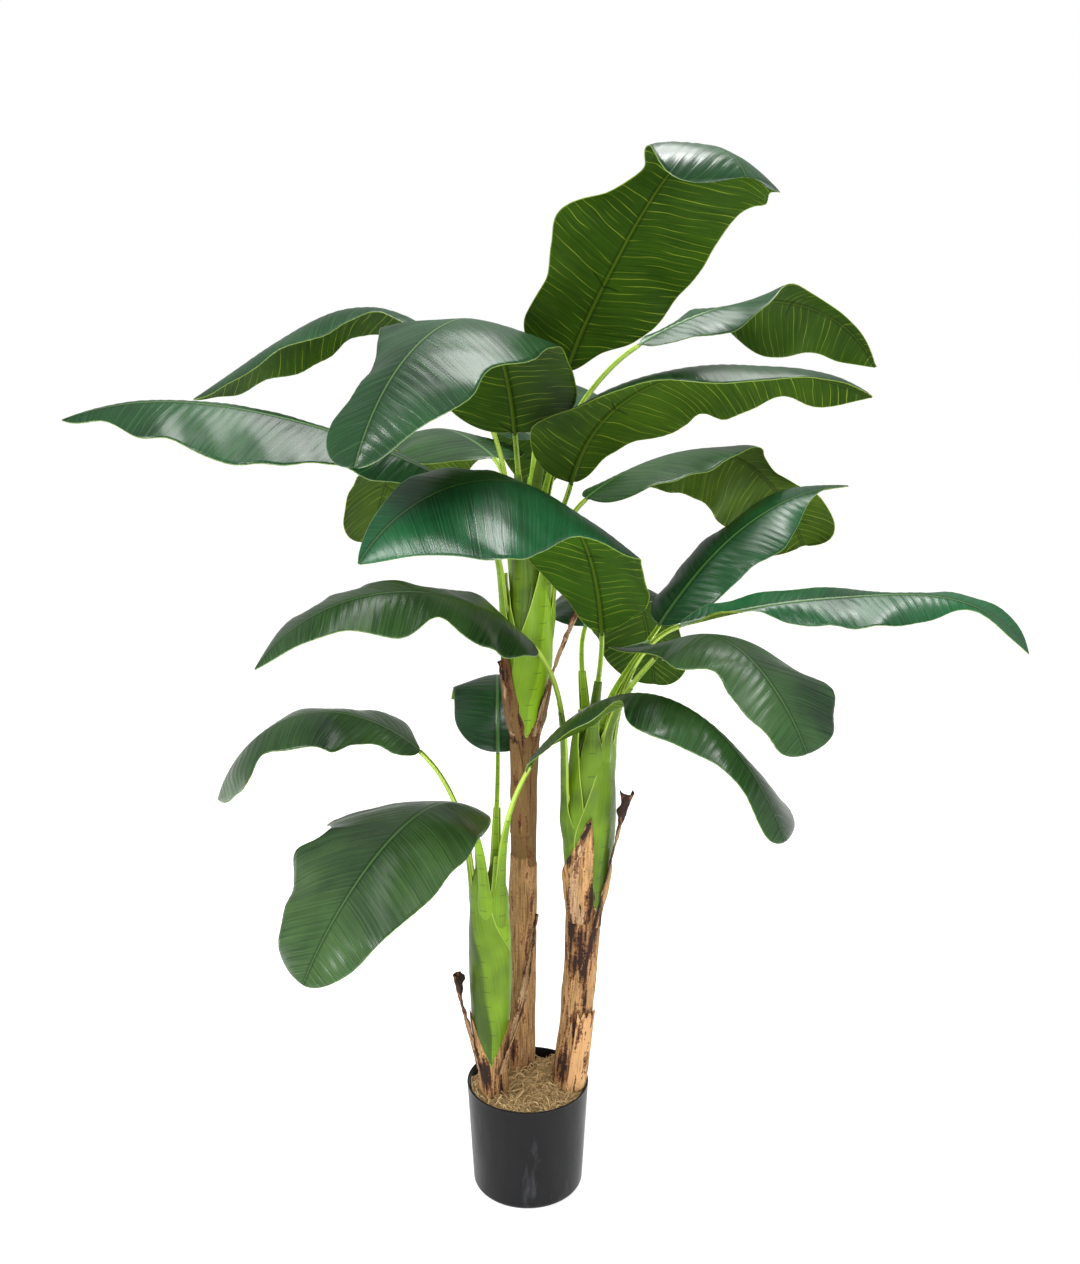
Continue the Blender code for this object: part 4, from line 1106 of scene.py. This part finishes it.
def feed(surface, **outputs):
    """Links each output to the shader's socket of that name."""
    for socket, output in outputs.items():
        surface.id_data.links.new(output, surface.inputs[socket.replace("_", " ")])


def streaks(node, place, across, along, detail):
    """Noise drawn out along a surface: so many grains to the metre across it and along it."""
    at = node("VectorMath", place, (across, along, 0.0), operation="MULTIPLY")
    return node("TexNoise", at, 1.0, detail, noise_dimensions="2D")


def overlaid(node, colour, tint, at, near, far, most):
    """The colour with a tint laid over it: most of it up to near, fading smoothly to none at far."""
    share = node("MapRange", at, near, far, most, 0.0, interpolation_type="SMOOTHSTEP")
    return node("Mix", share, colour, tint, data_type="RGBA")


def leaf_finish(name, dark, light, vein, rib, margin, pale_olive, fresh, roughness, gloss, lines, branches):
    """Polyester fabric printed and coated with soft polyethylene, hot pressed between ribbed plates.

    The coat gives a broad satin shine, the press fine parallel side veins with a stronger one about
    every 14 mm, and the print makes those paler and leaves a thin pale margin.
    """
    made, node, surface = new_finish(name, roughness, IOR=1.50, Specular_IOR_Level=gloss)
    place = node("Attribute", attribute_name="blade", out="Vector")
    edge = node("Attribute", attribute_name="edge", out="Fac")
    across, along, share = node("SeparateXYZ", place).node.outputs
    far = node("Math", across, operation="ABSOLUTE")

    # side veins: fine streaks 3 mm apart, and lines about 14 mm apart that fade in and out
    fine = streaks(node, place, 4.0, 330.0, 2.0)
    patch = node("TexNoise", place, 13.0, 1.0, noise_dimensions="2D")
    turn = node("Math", along, 1 / VEIN_PITCH, operation="MULTIPLY")
    turn = node("Math", patch, 1.2, turn, operation="MULTIPLY_ADD")
    beside = node("Math", turn, 0.5, operation="PINGPONG")
    line = node("MapRange", beside, 0.015, 0.075, 1.0, 0.0, interpolation_type="SMOOTHSTEP")
    shown = node("MapRange", streaks(node, place, 15.0, 60.0, 1.0), 0.38, 0.66, 0.0, lines)
    broad = node("TexNoise", node("TexCoord", out="Object"), 8.0, 3.0)
    mottle = node("Math", broad, 0.75, operation="MULTIPLY")
    mottle = node("Math", fine, 0.5, mottle, operation="MULTIPLY_ADD")
    tone = node("MapRange", mottle, 0.42, 0.86)
    colour = node("Mix", tone, dark, light, data_type="RGBA")
    given = node("Attribute", attribute_name="tone", out="Fac")
    fresh_share = node("Math", given, -1.0, operation="MULTIPLY")
    for weight, tint in ((given, pale_olive), (fresh_share, fresh)):
        weight = node("Math", weight, tone, operation="MULTIPLY", use_clamp=True)
        colour = node("Mix", weight, colour, tint, data_type="RGBA")
    faint = node("Math", line, shown, operation="MULTIPLY")
    colour = node("Mix", faint, colour, vein, data_type="RGBA")

    # midrib, narrowing to the tip, between two darker lines of painted shade in the creases beside it
    width = node("Math", share, -0.0026, 0.0036, operation="MULTIPLY_ADD")
    beyond = node("Math", far, width, operation="SUBTRACT")
    colour = overlaid(node, colour, dimmed(dark, 0.45), beyond, 0.0004, 0.0050, 0.6)
    colour = overlaid(node, colour, rib, beyond, -0.0014, 0.0006, 0.85)

    # short moulded branches that leave the midrib every 120 mm
    turn = node("Math", along, 1 / BRANCH_PITCH, operation="MULTIPLY")
    lean = node("Math", across, 3.0, turn, operation="MULTIPLY_ADD")
    wrapped = node("Math", lean, 1.0, operation="PINGPONG")
    thin = node("MapRange", wrapped, 0.007, 0.016, 1.0, 0.0, interpolation_type="SMOOTHSTEP")
    short = node("MapRange", far, 0.018, 0.030, branches, 0.0, interpolation_type="SMOOTHSTEP")
    branch = node("Math", thin, short, operation="MULTIPLY")
    colour = node("Mix", branch, colour, dimmed(dark, 0.35), data_type="RGBA")

    # pale cut margin, about 1 mm wide
    colour = overlaid(node, colour, margin, edge, 0.0003, 0.0015, 0.7)
    rough = node("MapRange", fine, None, None, roughness - 0.05, roughness + 0.05)
    height = node("Math", line, 0.5, fine, operation="MULTIPLY_ADD")
    feed(surface, Base_Color=colour, Roughness=rough, Normal=node("Bump", 0.22, 0.0010, None, height))
    return made


def stem_finish(name, settings):
    """Injection-moulded polyethylene, tinted green in the mass, its deep and bright greens mixed by random
    streaks and by each piece's tone.

    It gives a soft satin face with moulded rungs, thin lengthwise fibres and pale thin edges. On the green
    sheaths the tone paints light on one side of the keel and shade on the other, and the dips of the rungs
    hold dark lines of painted shade.
    """
    made, node, surface = new_finish(name, 0.42, IOR=1.51, Specular_IOR_Level=0.25)
    place = node("Attribute", attribute_name="blade", out="Vector")
    edge = node("Attribute", attribute_name="edge", out="Fac")
    given = node("Attribute", attribute_name="tone", out="Fac")
    across, along, _ = node("SeparateXYZ", place).node.outputs
    fibre = streaks(node, place, 700.0, 9.0, 2.0)
    broad = node("TexNoise", node("TexCoord", out="Object"), 14.0, 2.0)
    mixed = node("Math", fibre, 0.35, broad, operation="MULTIPLY_ADD")
    tone = node("MapRange", mixed, 0.45, 0.90, -0.22, 0.22)
    # each piece's tone: painted light and painted shade on the green sheaths, a fixed tone on the stalks and
    # cores, a random one on the narrow leaf bases
    tone = node("Math", tone, given, operation="ADD", use_clamp=True)
    colour = node("Mix", tone, settings.low, settings.high, data_type="RGBA")

    # rungs 28 mm apart across the middle, each a dark line of painted shade in the dip that the mesh has
    # there
    turn = node("Math", along, 1 / RUNG_PITCH, 0.5, operation="MULTIPLY_ADD")
    rung_shade = node("Math", turn, 0.5, operation="PINGPONG")
    rung_shade = node("MapRange", rung_shade, 0.012, 0.045, 1.0, 0.0, interpolation_type="SMOOTHSTEP")
    middle = node("Math", across, operation="ABSOLUTE")
    middle = node("MapRange", middle, 0.004, 0.007, 0.5, 0.0, interpolation_type="SMOOTHSTEP")
    rung_shade = node("Math", rung_shade, middle, operation="MULTIPLY")
    colour = node("Mix", rung_shade, colour, dimmed(settings.low, 0.5), data_type="RGBA")
    colour = overlaid(node, colour, settings.margin, edge, 0.0004, 0.0020, 0.9)
    feed(surface, Base_Color=colour, Normal=node("Bump", 0.25, 0.0006, None, fibre))
    return made


def bark_finish(name, pale, brown, stained, black):
    """Dried banana sheath glued on in sheets: matt, fibrous along its length, tan to nearly black.

    Fibres about 1.5 mm apart show as fine streaks, and old moisture stains have ragged edges, red
    brown at first and nearly black within.
    """
    made, node, surface = new_finish(name, 0.8, IOR=1.45, Specular_IOR_Level=0.3)
    place = node("Attribute", attribute_name="bark", out="Vector")
    age = node("Attribute", attribute_name="tone", out="Fac")
    painted = node("SeparateXYZ", place, out="Z")
    fibre = streaks(node, place, 620.0, 22.0, 4.0)
    strand = streaks(node, place, 150.0, 14.0, 3.0)
    speck = node("TexNoise", node("TexCoord", out="Object"), 210.0, 5.0, 0.65)
    tone = node("Math", fibre, 0.8, strand, operation="MULTIPLY_ADD")
    tone = node("Math", speck, 0.5, tone, operation="MULTIPLY_ADD")
    tone = node("MapRange", tone, 0.85, 1.40, 0.70, -0.30, clamp=False)
    aged = node("Math", tone, age, operation="ADD", use_clamp=True)
    colour = node("Mix", aged, pale, brown, data_type="RGBA")

    # stains: the painted amount plus the strands' and the specks' own unevenness
    level = node("Math", strand, 2.6, painted, operation="MULTIPLY_ADD")
    level = node("Math", speck, 1.4, level, operation="MULTIPLY_ADD")
    for start, tint, full in ((2.28, stained, 0.85), (2.60, black, 0.92)):
        amount = node("MapRange", level, start, start + 0.14, 0.0, full, interpolation_type="SMOOTHSTEP")
        colour = node("Mix", amount, colour, tint, data_type="RGBA")
    fleck = node("MapRange", speck, 0.60, 0.68, 0.0, 0.45)
    colour = node("Mix", fleck, colour, black, data_type="RGBA")
    height = node("Math", fibre, 0.7, strand, operation="MULTIPLY_ADD")
    height = node("Math", speck, 0.4, height, operation="MULTIPLY_ADD")
    feed(surface, Base_Color=colour, Normal=node("Bump", 1.0, 0.0032, None, height))
    return made


def moss_finish(settings):
    """Dried curly moss and coconut fibre: matt strands from straw to brown, partly their own colours and
    partly painted light and shade, over a bed of painted shade.
    """
    made, node, surface = new_finish("dried curly moss", 0.9, IOR=1.45, Specular_IOR_Level=0.2)
    tone = node("Attribute", attribute_name="tone", out="Fac")
    speck = node("TexNoise", node("TexCoord", out="Object"), 60.0, 4.0)
    share = node("MapRange", node("Math", speck, 0.5, tone, operation="MULTIPLY_ADD"), 0.3, 1.2)
    feed(surface, Base_Color=node("Mix", share, settings.shaded, settings.sunny, data_type="RGBA"))
    return made


def pot_finish(settings):
    """Polypropylene, injection moulded and coloured charcoal in the mass.

    It has a soft gloss with a fine grain, lightly scuffed on its wall where it has been handled.
    """
    made, node, surface = new_finish("moulded polypropylene", settings.roughness, IOR=1.49,
                                     Specular_IOR_Level=0.22, Sheen_Weight=0.30, Sheen_Roughness=0.35)
    place = node("TexCoord", out="Object")
    scuff_at = node("VectorMath", place, (34.0, 34.0, 9.0), operation="MULTIPLY")
    scuff = node("TexNoise", scuff_at, 1.0, 6.0, 0.62)
    worn = node("MapRange", scuff, 0.58, 0.74, 0.0, 0.45)
    rough = node("MapRange", scuff, 0.3, 0.75, settings.roughness - 0.05, settings.roughness + 0.16)
    grain = node("TexNoise", place, 900.0, 2.0)
    feed(surface, Base_Color=node("Mix", worn, settings.colour, settings.scuff, data_type="RGBA"),
         Roughness=rough, Normal=node("Bump", 0.12, 0.0004, None, grain))
    return made


def filling_finish():
    """Cast cement that weights the pot: matt grey with sand grains and small air holes."""
    made, node, surface = new_finish("cast cement", 0.92, IOR=1.5)
    sand = node("TexNoise", node("TexCoord", out="Object"), 300.0, 5.0)
    colour = node("Mix", sand, linear("#6f6b64"), linear("#a29d93"), data_type="RGBA")
    feed(surface, Base_Color=colour, Normal=node("Bump", 0.5, 0.001, None, sand))
    return made


def floor_finish(colour, glow):
    """Opal plastic studio floor, lit from below: matt, with a faint mottle."""
    made, node, surface = new_finish("opal studio floor", 0.9, Emission_Color=colour, Emission_Strength=glow)
    mottle = node("TexNoise", node("TexCoord", out="Object"), 1.5)
    feed(surface, Base_Color=node("Mix", mottle, colour, dimmed(colour, 0.985), data_type="RGBA"))
    return made


# ---------------------------------------------------------------- settings

Tint = partial(FloatVectorProperty, subtype="COLOR", size=4, min=0, max=1)
Length = partial(FloatProperty, subtype="DISTANCE", unit="LENGTH", min=0)
Power = partial(FloatProperty, unit="POWER", min=0)


class BananaStage(bpy.types.PropertyGroup):
    floor: Tint(name="Floor", description="Colour of the studio floor", default=linear("#f4f4f2"))
    glow: FloatProperty(
        name="Floor glow", description="Light the opal floor gives off", default=0.76, min=0, max=2)
    key_power: Power(
        name="Key light", description="Power of the large soft light at the front left", default=86.0)
    top_power: Power(name="Top light", description="Power of the soft light overhead", default=52.0)
    crown_power: Power(
        name="Crown lights", description="Power of the small lights over the crown", default=24.0)
    fill_power: Power(name="Fill light", description="Power of the soft light at the right", default=34.0)
    rim_power: Power(
        name="Rim lights", description="Power of the two lights behind, at either side", default=22.0)
    front_power: Power(
        name="Front light", description="Power of the small light that shines under the fronds",
        default=17.0)
    sky: FloatProperty(
        name="Surround", description="Strength of the white surround", default=0.38, min=0, max=4)


class BananaPot(bpy.types.PropertyGroup):
    colour: Tint(name="Pot", description="Colour of the pot's plastic", default=linear("#101014"))
    scuff: Tint(name="Scuffs", description="Colour of the pale scuffs", default=linear("#55565a"))
    roughness: FloatProperty(
        name="Roughness", description="Roughness of the pot's wall", default=0.50, min=0, max=1,
        subtype="FACTOR")


class BananaMoss(bpy.types.PropertyGroup):
    strands: IntProperty(name="Strands", description="How many moss strands", default=2600, min=10, max=4000)
    strand_length: Length(
        name="Strand length", description="Middle length of a strand", default=0.046, min=0.005, max=0.1)
    strand_width: Length(
        name="Strand width", description="Middle width of a strand", default=0.0022, min=0.0003, max=0.004)
    # sunny straw and shaded brown: partly the strands' own colours, partly painted light and shade; the
    # shaded brown also paints the shade in the gaps on the bed
    sunny: Tint(name="Straw", description="Colour of the palest strands", default=linear("#ffdfa6"))
    shaded: Tint(name="Brown", description="Colour of the darkest strands", default=linear("#7d5428"))


class BananaBark(bpy.types.PropertyGroup):
    fibre_depth: Length(
        name="Fibre depth", description="Height of the lengthwise fibre ridges", default=0.0006, max=0.003)
    flap_lift: Length(
        name="Flap lift", description="How far the dried flaps stand off the green stem", default=0.0052,
        max=0.02)
    lump_depth: Length(
        name="Lump depth", description="Height of the broad lumps", default=0.0009, max=0.004)
    pale: Tint(name="Pale", description="Colour of fresh dry sheath", default=linear("#e0ae78"))
    brown: Tint(name="Brown", description="Colour of old dry sheath", default=linear("#7d6039"))
    stained: Tint(name="Stained", description="Colour of the edge of a stain", default=linear("#6b3c22"))
    black: Tint(name="Black", description="Colour of the middle of a stain", default=linear("#261a18"))


class BananaStems(bpy.types.PropertyGroup):
    # the deep and bright greens are also the shaded and lit ends of the painted light and shade on the green
    # sheaths
    low: Tint(name="Deep green", description="Darker tint of the leaf bases", default=linear("#3d560c"))
    high: Tint(name="Bright green", description="Lighter tint of the leaf bases", default=linear("#93bf22"))
    margin: Tint(name="Edge", description="Colour of their thin edges", default=linear("#b9d45a"))


class BananaFronds(bpy.types.PropertyGroup):
    blade_thick: Length(
        name="Blade thickness", description="Thickness of a blade beside its midrib", default=0.0016,
        min=0.0005, max=0.005)
    rib_height: Length(
        name="Midrib height", description="How far the midrib stands out below", default=0.0042, max=0.01)
    pleat_pitch: Length(
        name="Pleat pitch", description="Distance between the pleats along the side veins", default=0.016,
        min=0.005, max=0.05)
    pleat_depth: Length(name="Pleat depth", description="Height of the pleats", default=0.0004, max=0.003)
    small_ripple: Length(
        name="Small ripples", description="Height of the random ripples at the margin", default=0.0035,
        max=0.02)
    upper_dark: Tint(
        name="Upper, dark", description="Darker tint of the upper side", default=linear("#102c15"))
    upper_light: Tint(
        name="Upper, light", description="Lighter tint of the upper side", default=linear("#225028"))
    under_dark: Tint(
        name="Under, dark", description="Darker tint of the underside", default=linear("#213b04"))
    under_light: Tint(
        name="Under, light", description="Lighter tint of the underside", default=linear("#3a5b08"))


# ---------------------------------------------------------------- operators

class BANANA_OT_stage(bpy.types.Operator):
    """Lay the floor, hang the soft lights and set the camera"""

    bl_idname = "banana.stage"
    bl_label = "Stage"

    def execute(self, context):
        settings = context.scene.banana_stage
        mesh = bpy.data.meshes.new("floor")
        corners = FLOOR_HALF * np.array([(-1, -1, 0), (1, -1, 0), (1, 1, 0), (-1, 1, 0)])
        mesh.from_pydata(corners, [], [(0, 1, 2, 3)])
        mesh.materials.append(floor_finish(settings.floor, settings.glow))
        floor = add_to_scene("floor", mesh)

        world = bpy.data.worlds.new("white studio")
        world.use_nodes = True
        sky = world.node_tree.nodes["Background"]
        seen = add_node(world.node_tree, "LightPath", out="Is Camera Ray")
        feed(sky, Strength=add_node(world.node_tree, "MapRange", seen, None, None, settings.sky, 1.0))
        sky.inputs["Color"].default_value = (1.0, 1.0, 1.0, 1.0)
        context.scene.world = world

        # name, place, height it is aimed at, width and power of each square light
        lights = (("key", (-1.6, -2.3, 2.9), 0.95, 1.1, settings.key_power),
                  ("top", (0.4, 0.25, 3.4), 0.95, 1.5, settings.top_power),
                  ("crown right", (0.87, -0.18, 3.55), 0.95, 0.55, settings.crown_power),
                  ("crown left", (-0.64, -0.72, 3.60), 0.95, 0.70, 0.25 * settings.crown_power),
                  ("fill", (2.5, -1.5, 0.9), 0.95, 1.3, settings.fill_power),
                  ("front", (0.15, -2.2, 1.0), 0.2, 0.5, settings.front_power),
                  ("rim right", (1.9, 0.8, 0.3), 0.2, 0.6, 2.4 * settings.rim_power),
                  ("rim left", (-2.0, 1.1, 0.3), 0.2, 0.4, 0.55 * settings.rim_power))
        for name, place, height, size, power in lights:
            light = bpy.data.lights.new(name, "AREA")
            light.shape, light.size, light.energy = "SQUARE", size, power
            lamp = add_to_scene(name, light)
            lamp.location = place
            x, y, z = np.array([*AIM, height]) - place
            lamp.rotation_euler = (np.arctan2(np.hypot(x, y), -z), 0.0, np.pi - np.arctan2(x, -y))

        lens = bpy.data.cameras.new("camera")
        lens.sensor_width, lens.lens = SENSOR, LENS_SHARE * SENSOR
        lens.clip_start, lens.clip_end = 0.05, 200.0
        camera = add_to_scene("camera", lens)
        camera.location = CAMERA_PLACE
        camera.rotation_euler = (np.radians(90 - CAMERA_TILT), 0.0, 0.0)
        context.scene.camera = camera
        context.scene.view_settings.view_transform = "Standard"
        return {"FINISHED"}


class BANANA_OT_pot(bpy.types.Operator):
    """Turn the pot and give its filling a cement finish"""

    bl_idname = "banana.pot"
    bl_label = "Pot and filling"

    def execute(self, context):
        add_pot(pot_finish(context.scene.banana_pot))
        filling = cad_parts["pot_fill"].data.materials
        filling.clear()
        filling.append(filling_finish())
        return {"FINISHED"}


class BANANA_OT_moss(bpy.types.Operator):
    """Lay the mossy mound and strew its strands"""

    bl_idname = "banana.moss"
    bl_label = "Moss"

    def execute(self, context):
        finish = moss_finish(context.scene.banana_moss)
        add_moss_bed(finish)
        add_moss_fibres(finish)
        return {"FINISHED"}


class BANANA_OT_bark(bpy.types.Operator):
    """Build the three trunks with their bark, wraps and dried strips"""

    bl_idname = "banana.bark"
    bl_label = "Bark, wraps and strips"

    def execute(self, context):
        s = context.scene.banana_bark
        trunk = bark_finish("dried sheath bark", s.pale, s.brown, s.stained, s.black)
        strip = bark_finish("dried sheath strip", linear("#dcb78d"), linear("#80603f"), s.stained, s.black)
        for k, (title, stem) in enumerate(STEMS.items()):
            add_trunk(title, stem, TRUNK_SEED + 10 * k, trunk)
        for k, (name, wrap) in enumerate(WRAPS.items()):
            add_sheath(name, wrap, WRAP_THICK, trunk, WRAP_SEED + 10 * k, WRAP_TONES[name],
                       fray=0.006)
        for k, (name, piece) in enumerate(STRIPS.items()):
            add_strip(name, piece, STRIP_SEED + 10 * k, strip)
        return {"FINISHED"}


class BANANA_OT_stems(bpy.types.Operator):
    """Build the green stems and the leaf bases round them"""

    bl_idname = "banana.stems"
    bl_label = "Green stems and leaf bases"

    def execute(self, context):
        finish = stem_finish("moulded green polyethylene", context.scene.banana_stems)
        for k, (title, stem) in enumerate(STEMS.items()):
            add_pseudostem(title, stem, PSEUDOSTEM_SEED + 10 * k, finish)
        for k, (name, sheath) in enumerate(SHEATHS.items()):
            add_sheath(name, sheath, SHEATH_THICK, finish, SHEATH_SEED + 10 * k,
                       SHEATH_LIT_AND_SHADED_TONES[name])
        for k, (name, f) in enumerate(FRONDS.items()):
            add_leaf_base(name.replace("frond", "leaf_base"), f, LEAF_BASE_SEED + k, finish)
        return {"FINISHED"}


class BANANA_OT_fronds(bpy.types.Operator):
    """Build the nineteen fronds, each a channelled stalk and a pleated blade"""

    bl_idname = "banana.fronds"
    bl_label = "Fronds"

    def execute(self, context):
        s = context.scene.banana_fronds
        upper = leaf_finish(
            "coated leaf fabric, upper side", s.upper_dark, s.upper_light, vein=linear("#4f7d48"),
            rib=linear("#507a3e"), margin=linear("#8fae74"), pale_olive=linear("#6d8a4a"),
            fresh=linear("#18784a"), roughness=0.31, gloss=0.5, lines=0.36, branches=0.0)
        under = leaf_finish(
            "coated leaf fabric, underside", s.under_dark, s.under_light, vein=linear("#8a9e30"),
            rib=linear("#4c660c"), margin=linear("#93ab40"), pale_olive=linear("#6c7f22"),
            fresh=linear("#3d6a14"), roughness=0.58, gloss=0.10, lines=0.75, branches=0.8)
        stalk = stem_finish("moulded stalk polyethylene", context.scene.banana_stems)
        for k, (name, f) in enumerate(FRONDS.items()):
            add_frond(name, f, FROND_SEED + 20 * k, [upper, under, stalk])
        return {"FINISHED"}


class BANANA_PT_panel(bpy.types.Panel):
    """Lists the steps that finish the plant, and their settings"""

    bl_idname = "BANANA_PT_panel"
    bl_label = "Banana plant"
    bl_space_type = "VIEW_3D"
    bl_region_type = "UI"
    bl_category = "Banana plant"

    def draw(self, context):
        for operator in OPERATORS:
            self.layout.operator(operator.bl_idname)
        for title, group in SETTINGS.items():
            box = self.layout.box()
            for field in group.__annotations__:
                box.prop(getattr(context.scene, title), field)


OPERATORS = (BANANA_OT_stage, BANANA_OT_pot, BANANA_OT_moss, BANANA_OT_bark, BANANA_OT_stems,
             BANANA_OT_fronds)
SETTINGS = {
    "banana_stage": BananaStage, "banana_pot": BananaPot, "banana_moss": BananaMoss,
    "banana_bark": BananaBark, "banana_stems": BananaStems, "banana_fronds": BananaFronds}


def register():
    for group in (*SETTINGS.values(), *OPERATORS, BANANA_PT_panel):
        bpy.utils.register_class(group)
    for title, group in SETTINGS.items():
        setattr(bpy.types.Scene, title, PointerProperty(type=group))


def unregister():
    for title in SETTINGS:
        delattr(bpy.types.Scene, title)
    for group in (BANANA_PT_panel, *reversed(OPERATORS), *reversed(SETTINGS.values())):
        bpy.utils.unregister_class(group)


def main():
    register()
    for operator in OPERATORS:
        group, step = operator.bl_idname.split(".")
        getattr(getattr(bpy.ops, group), step)()


if __name__ == "__main__":
    main()
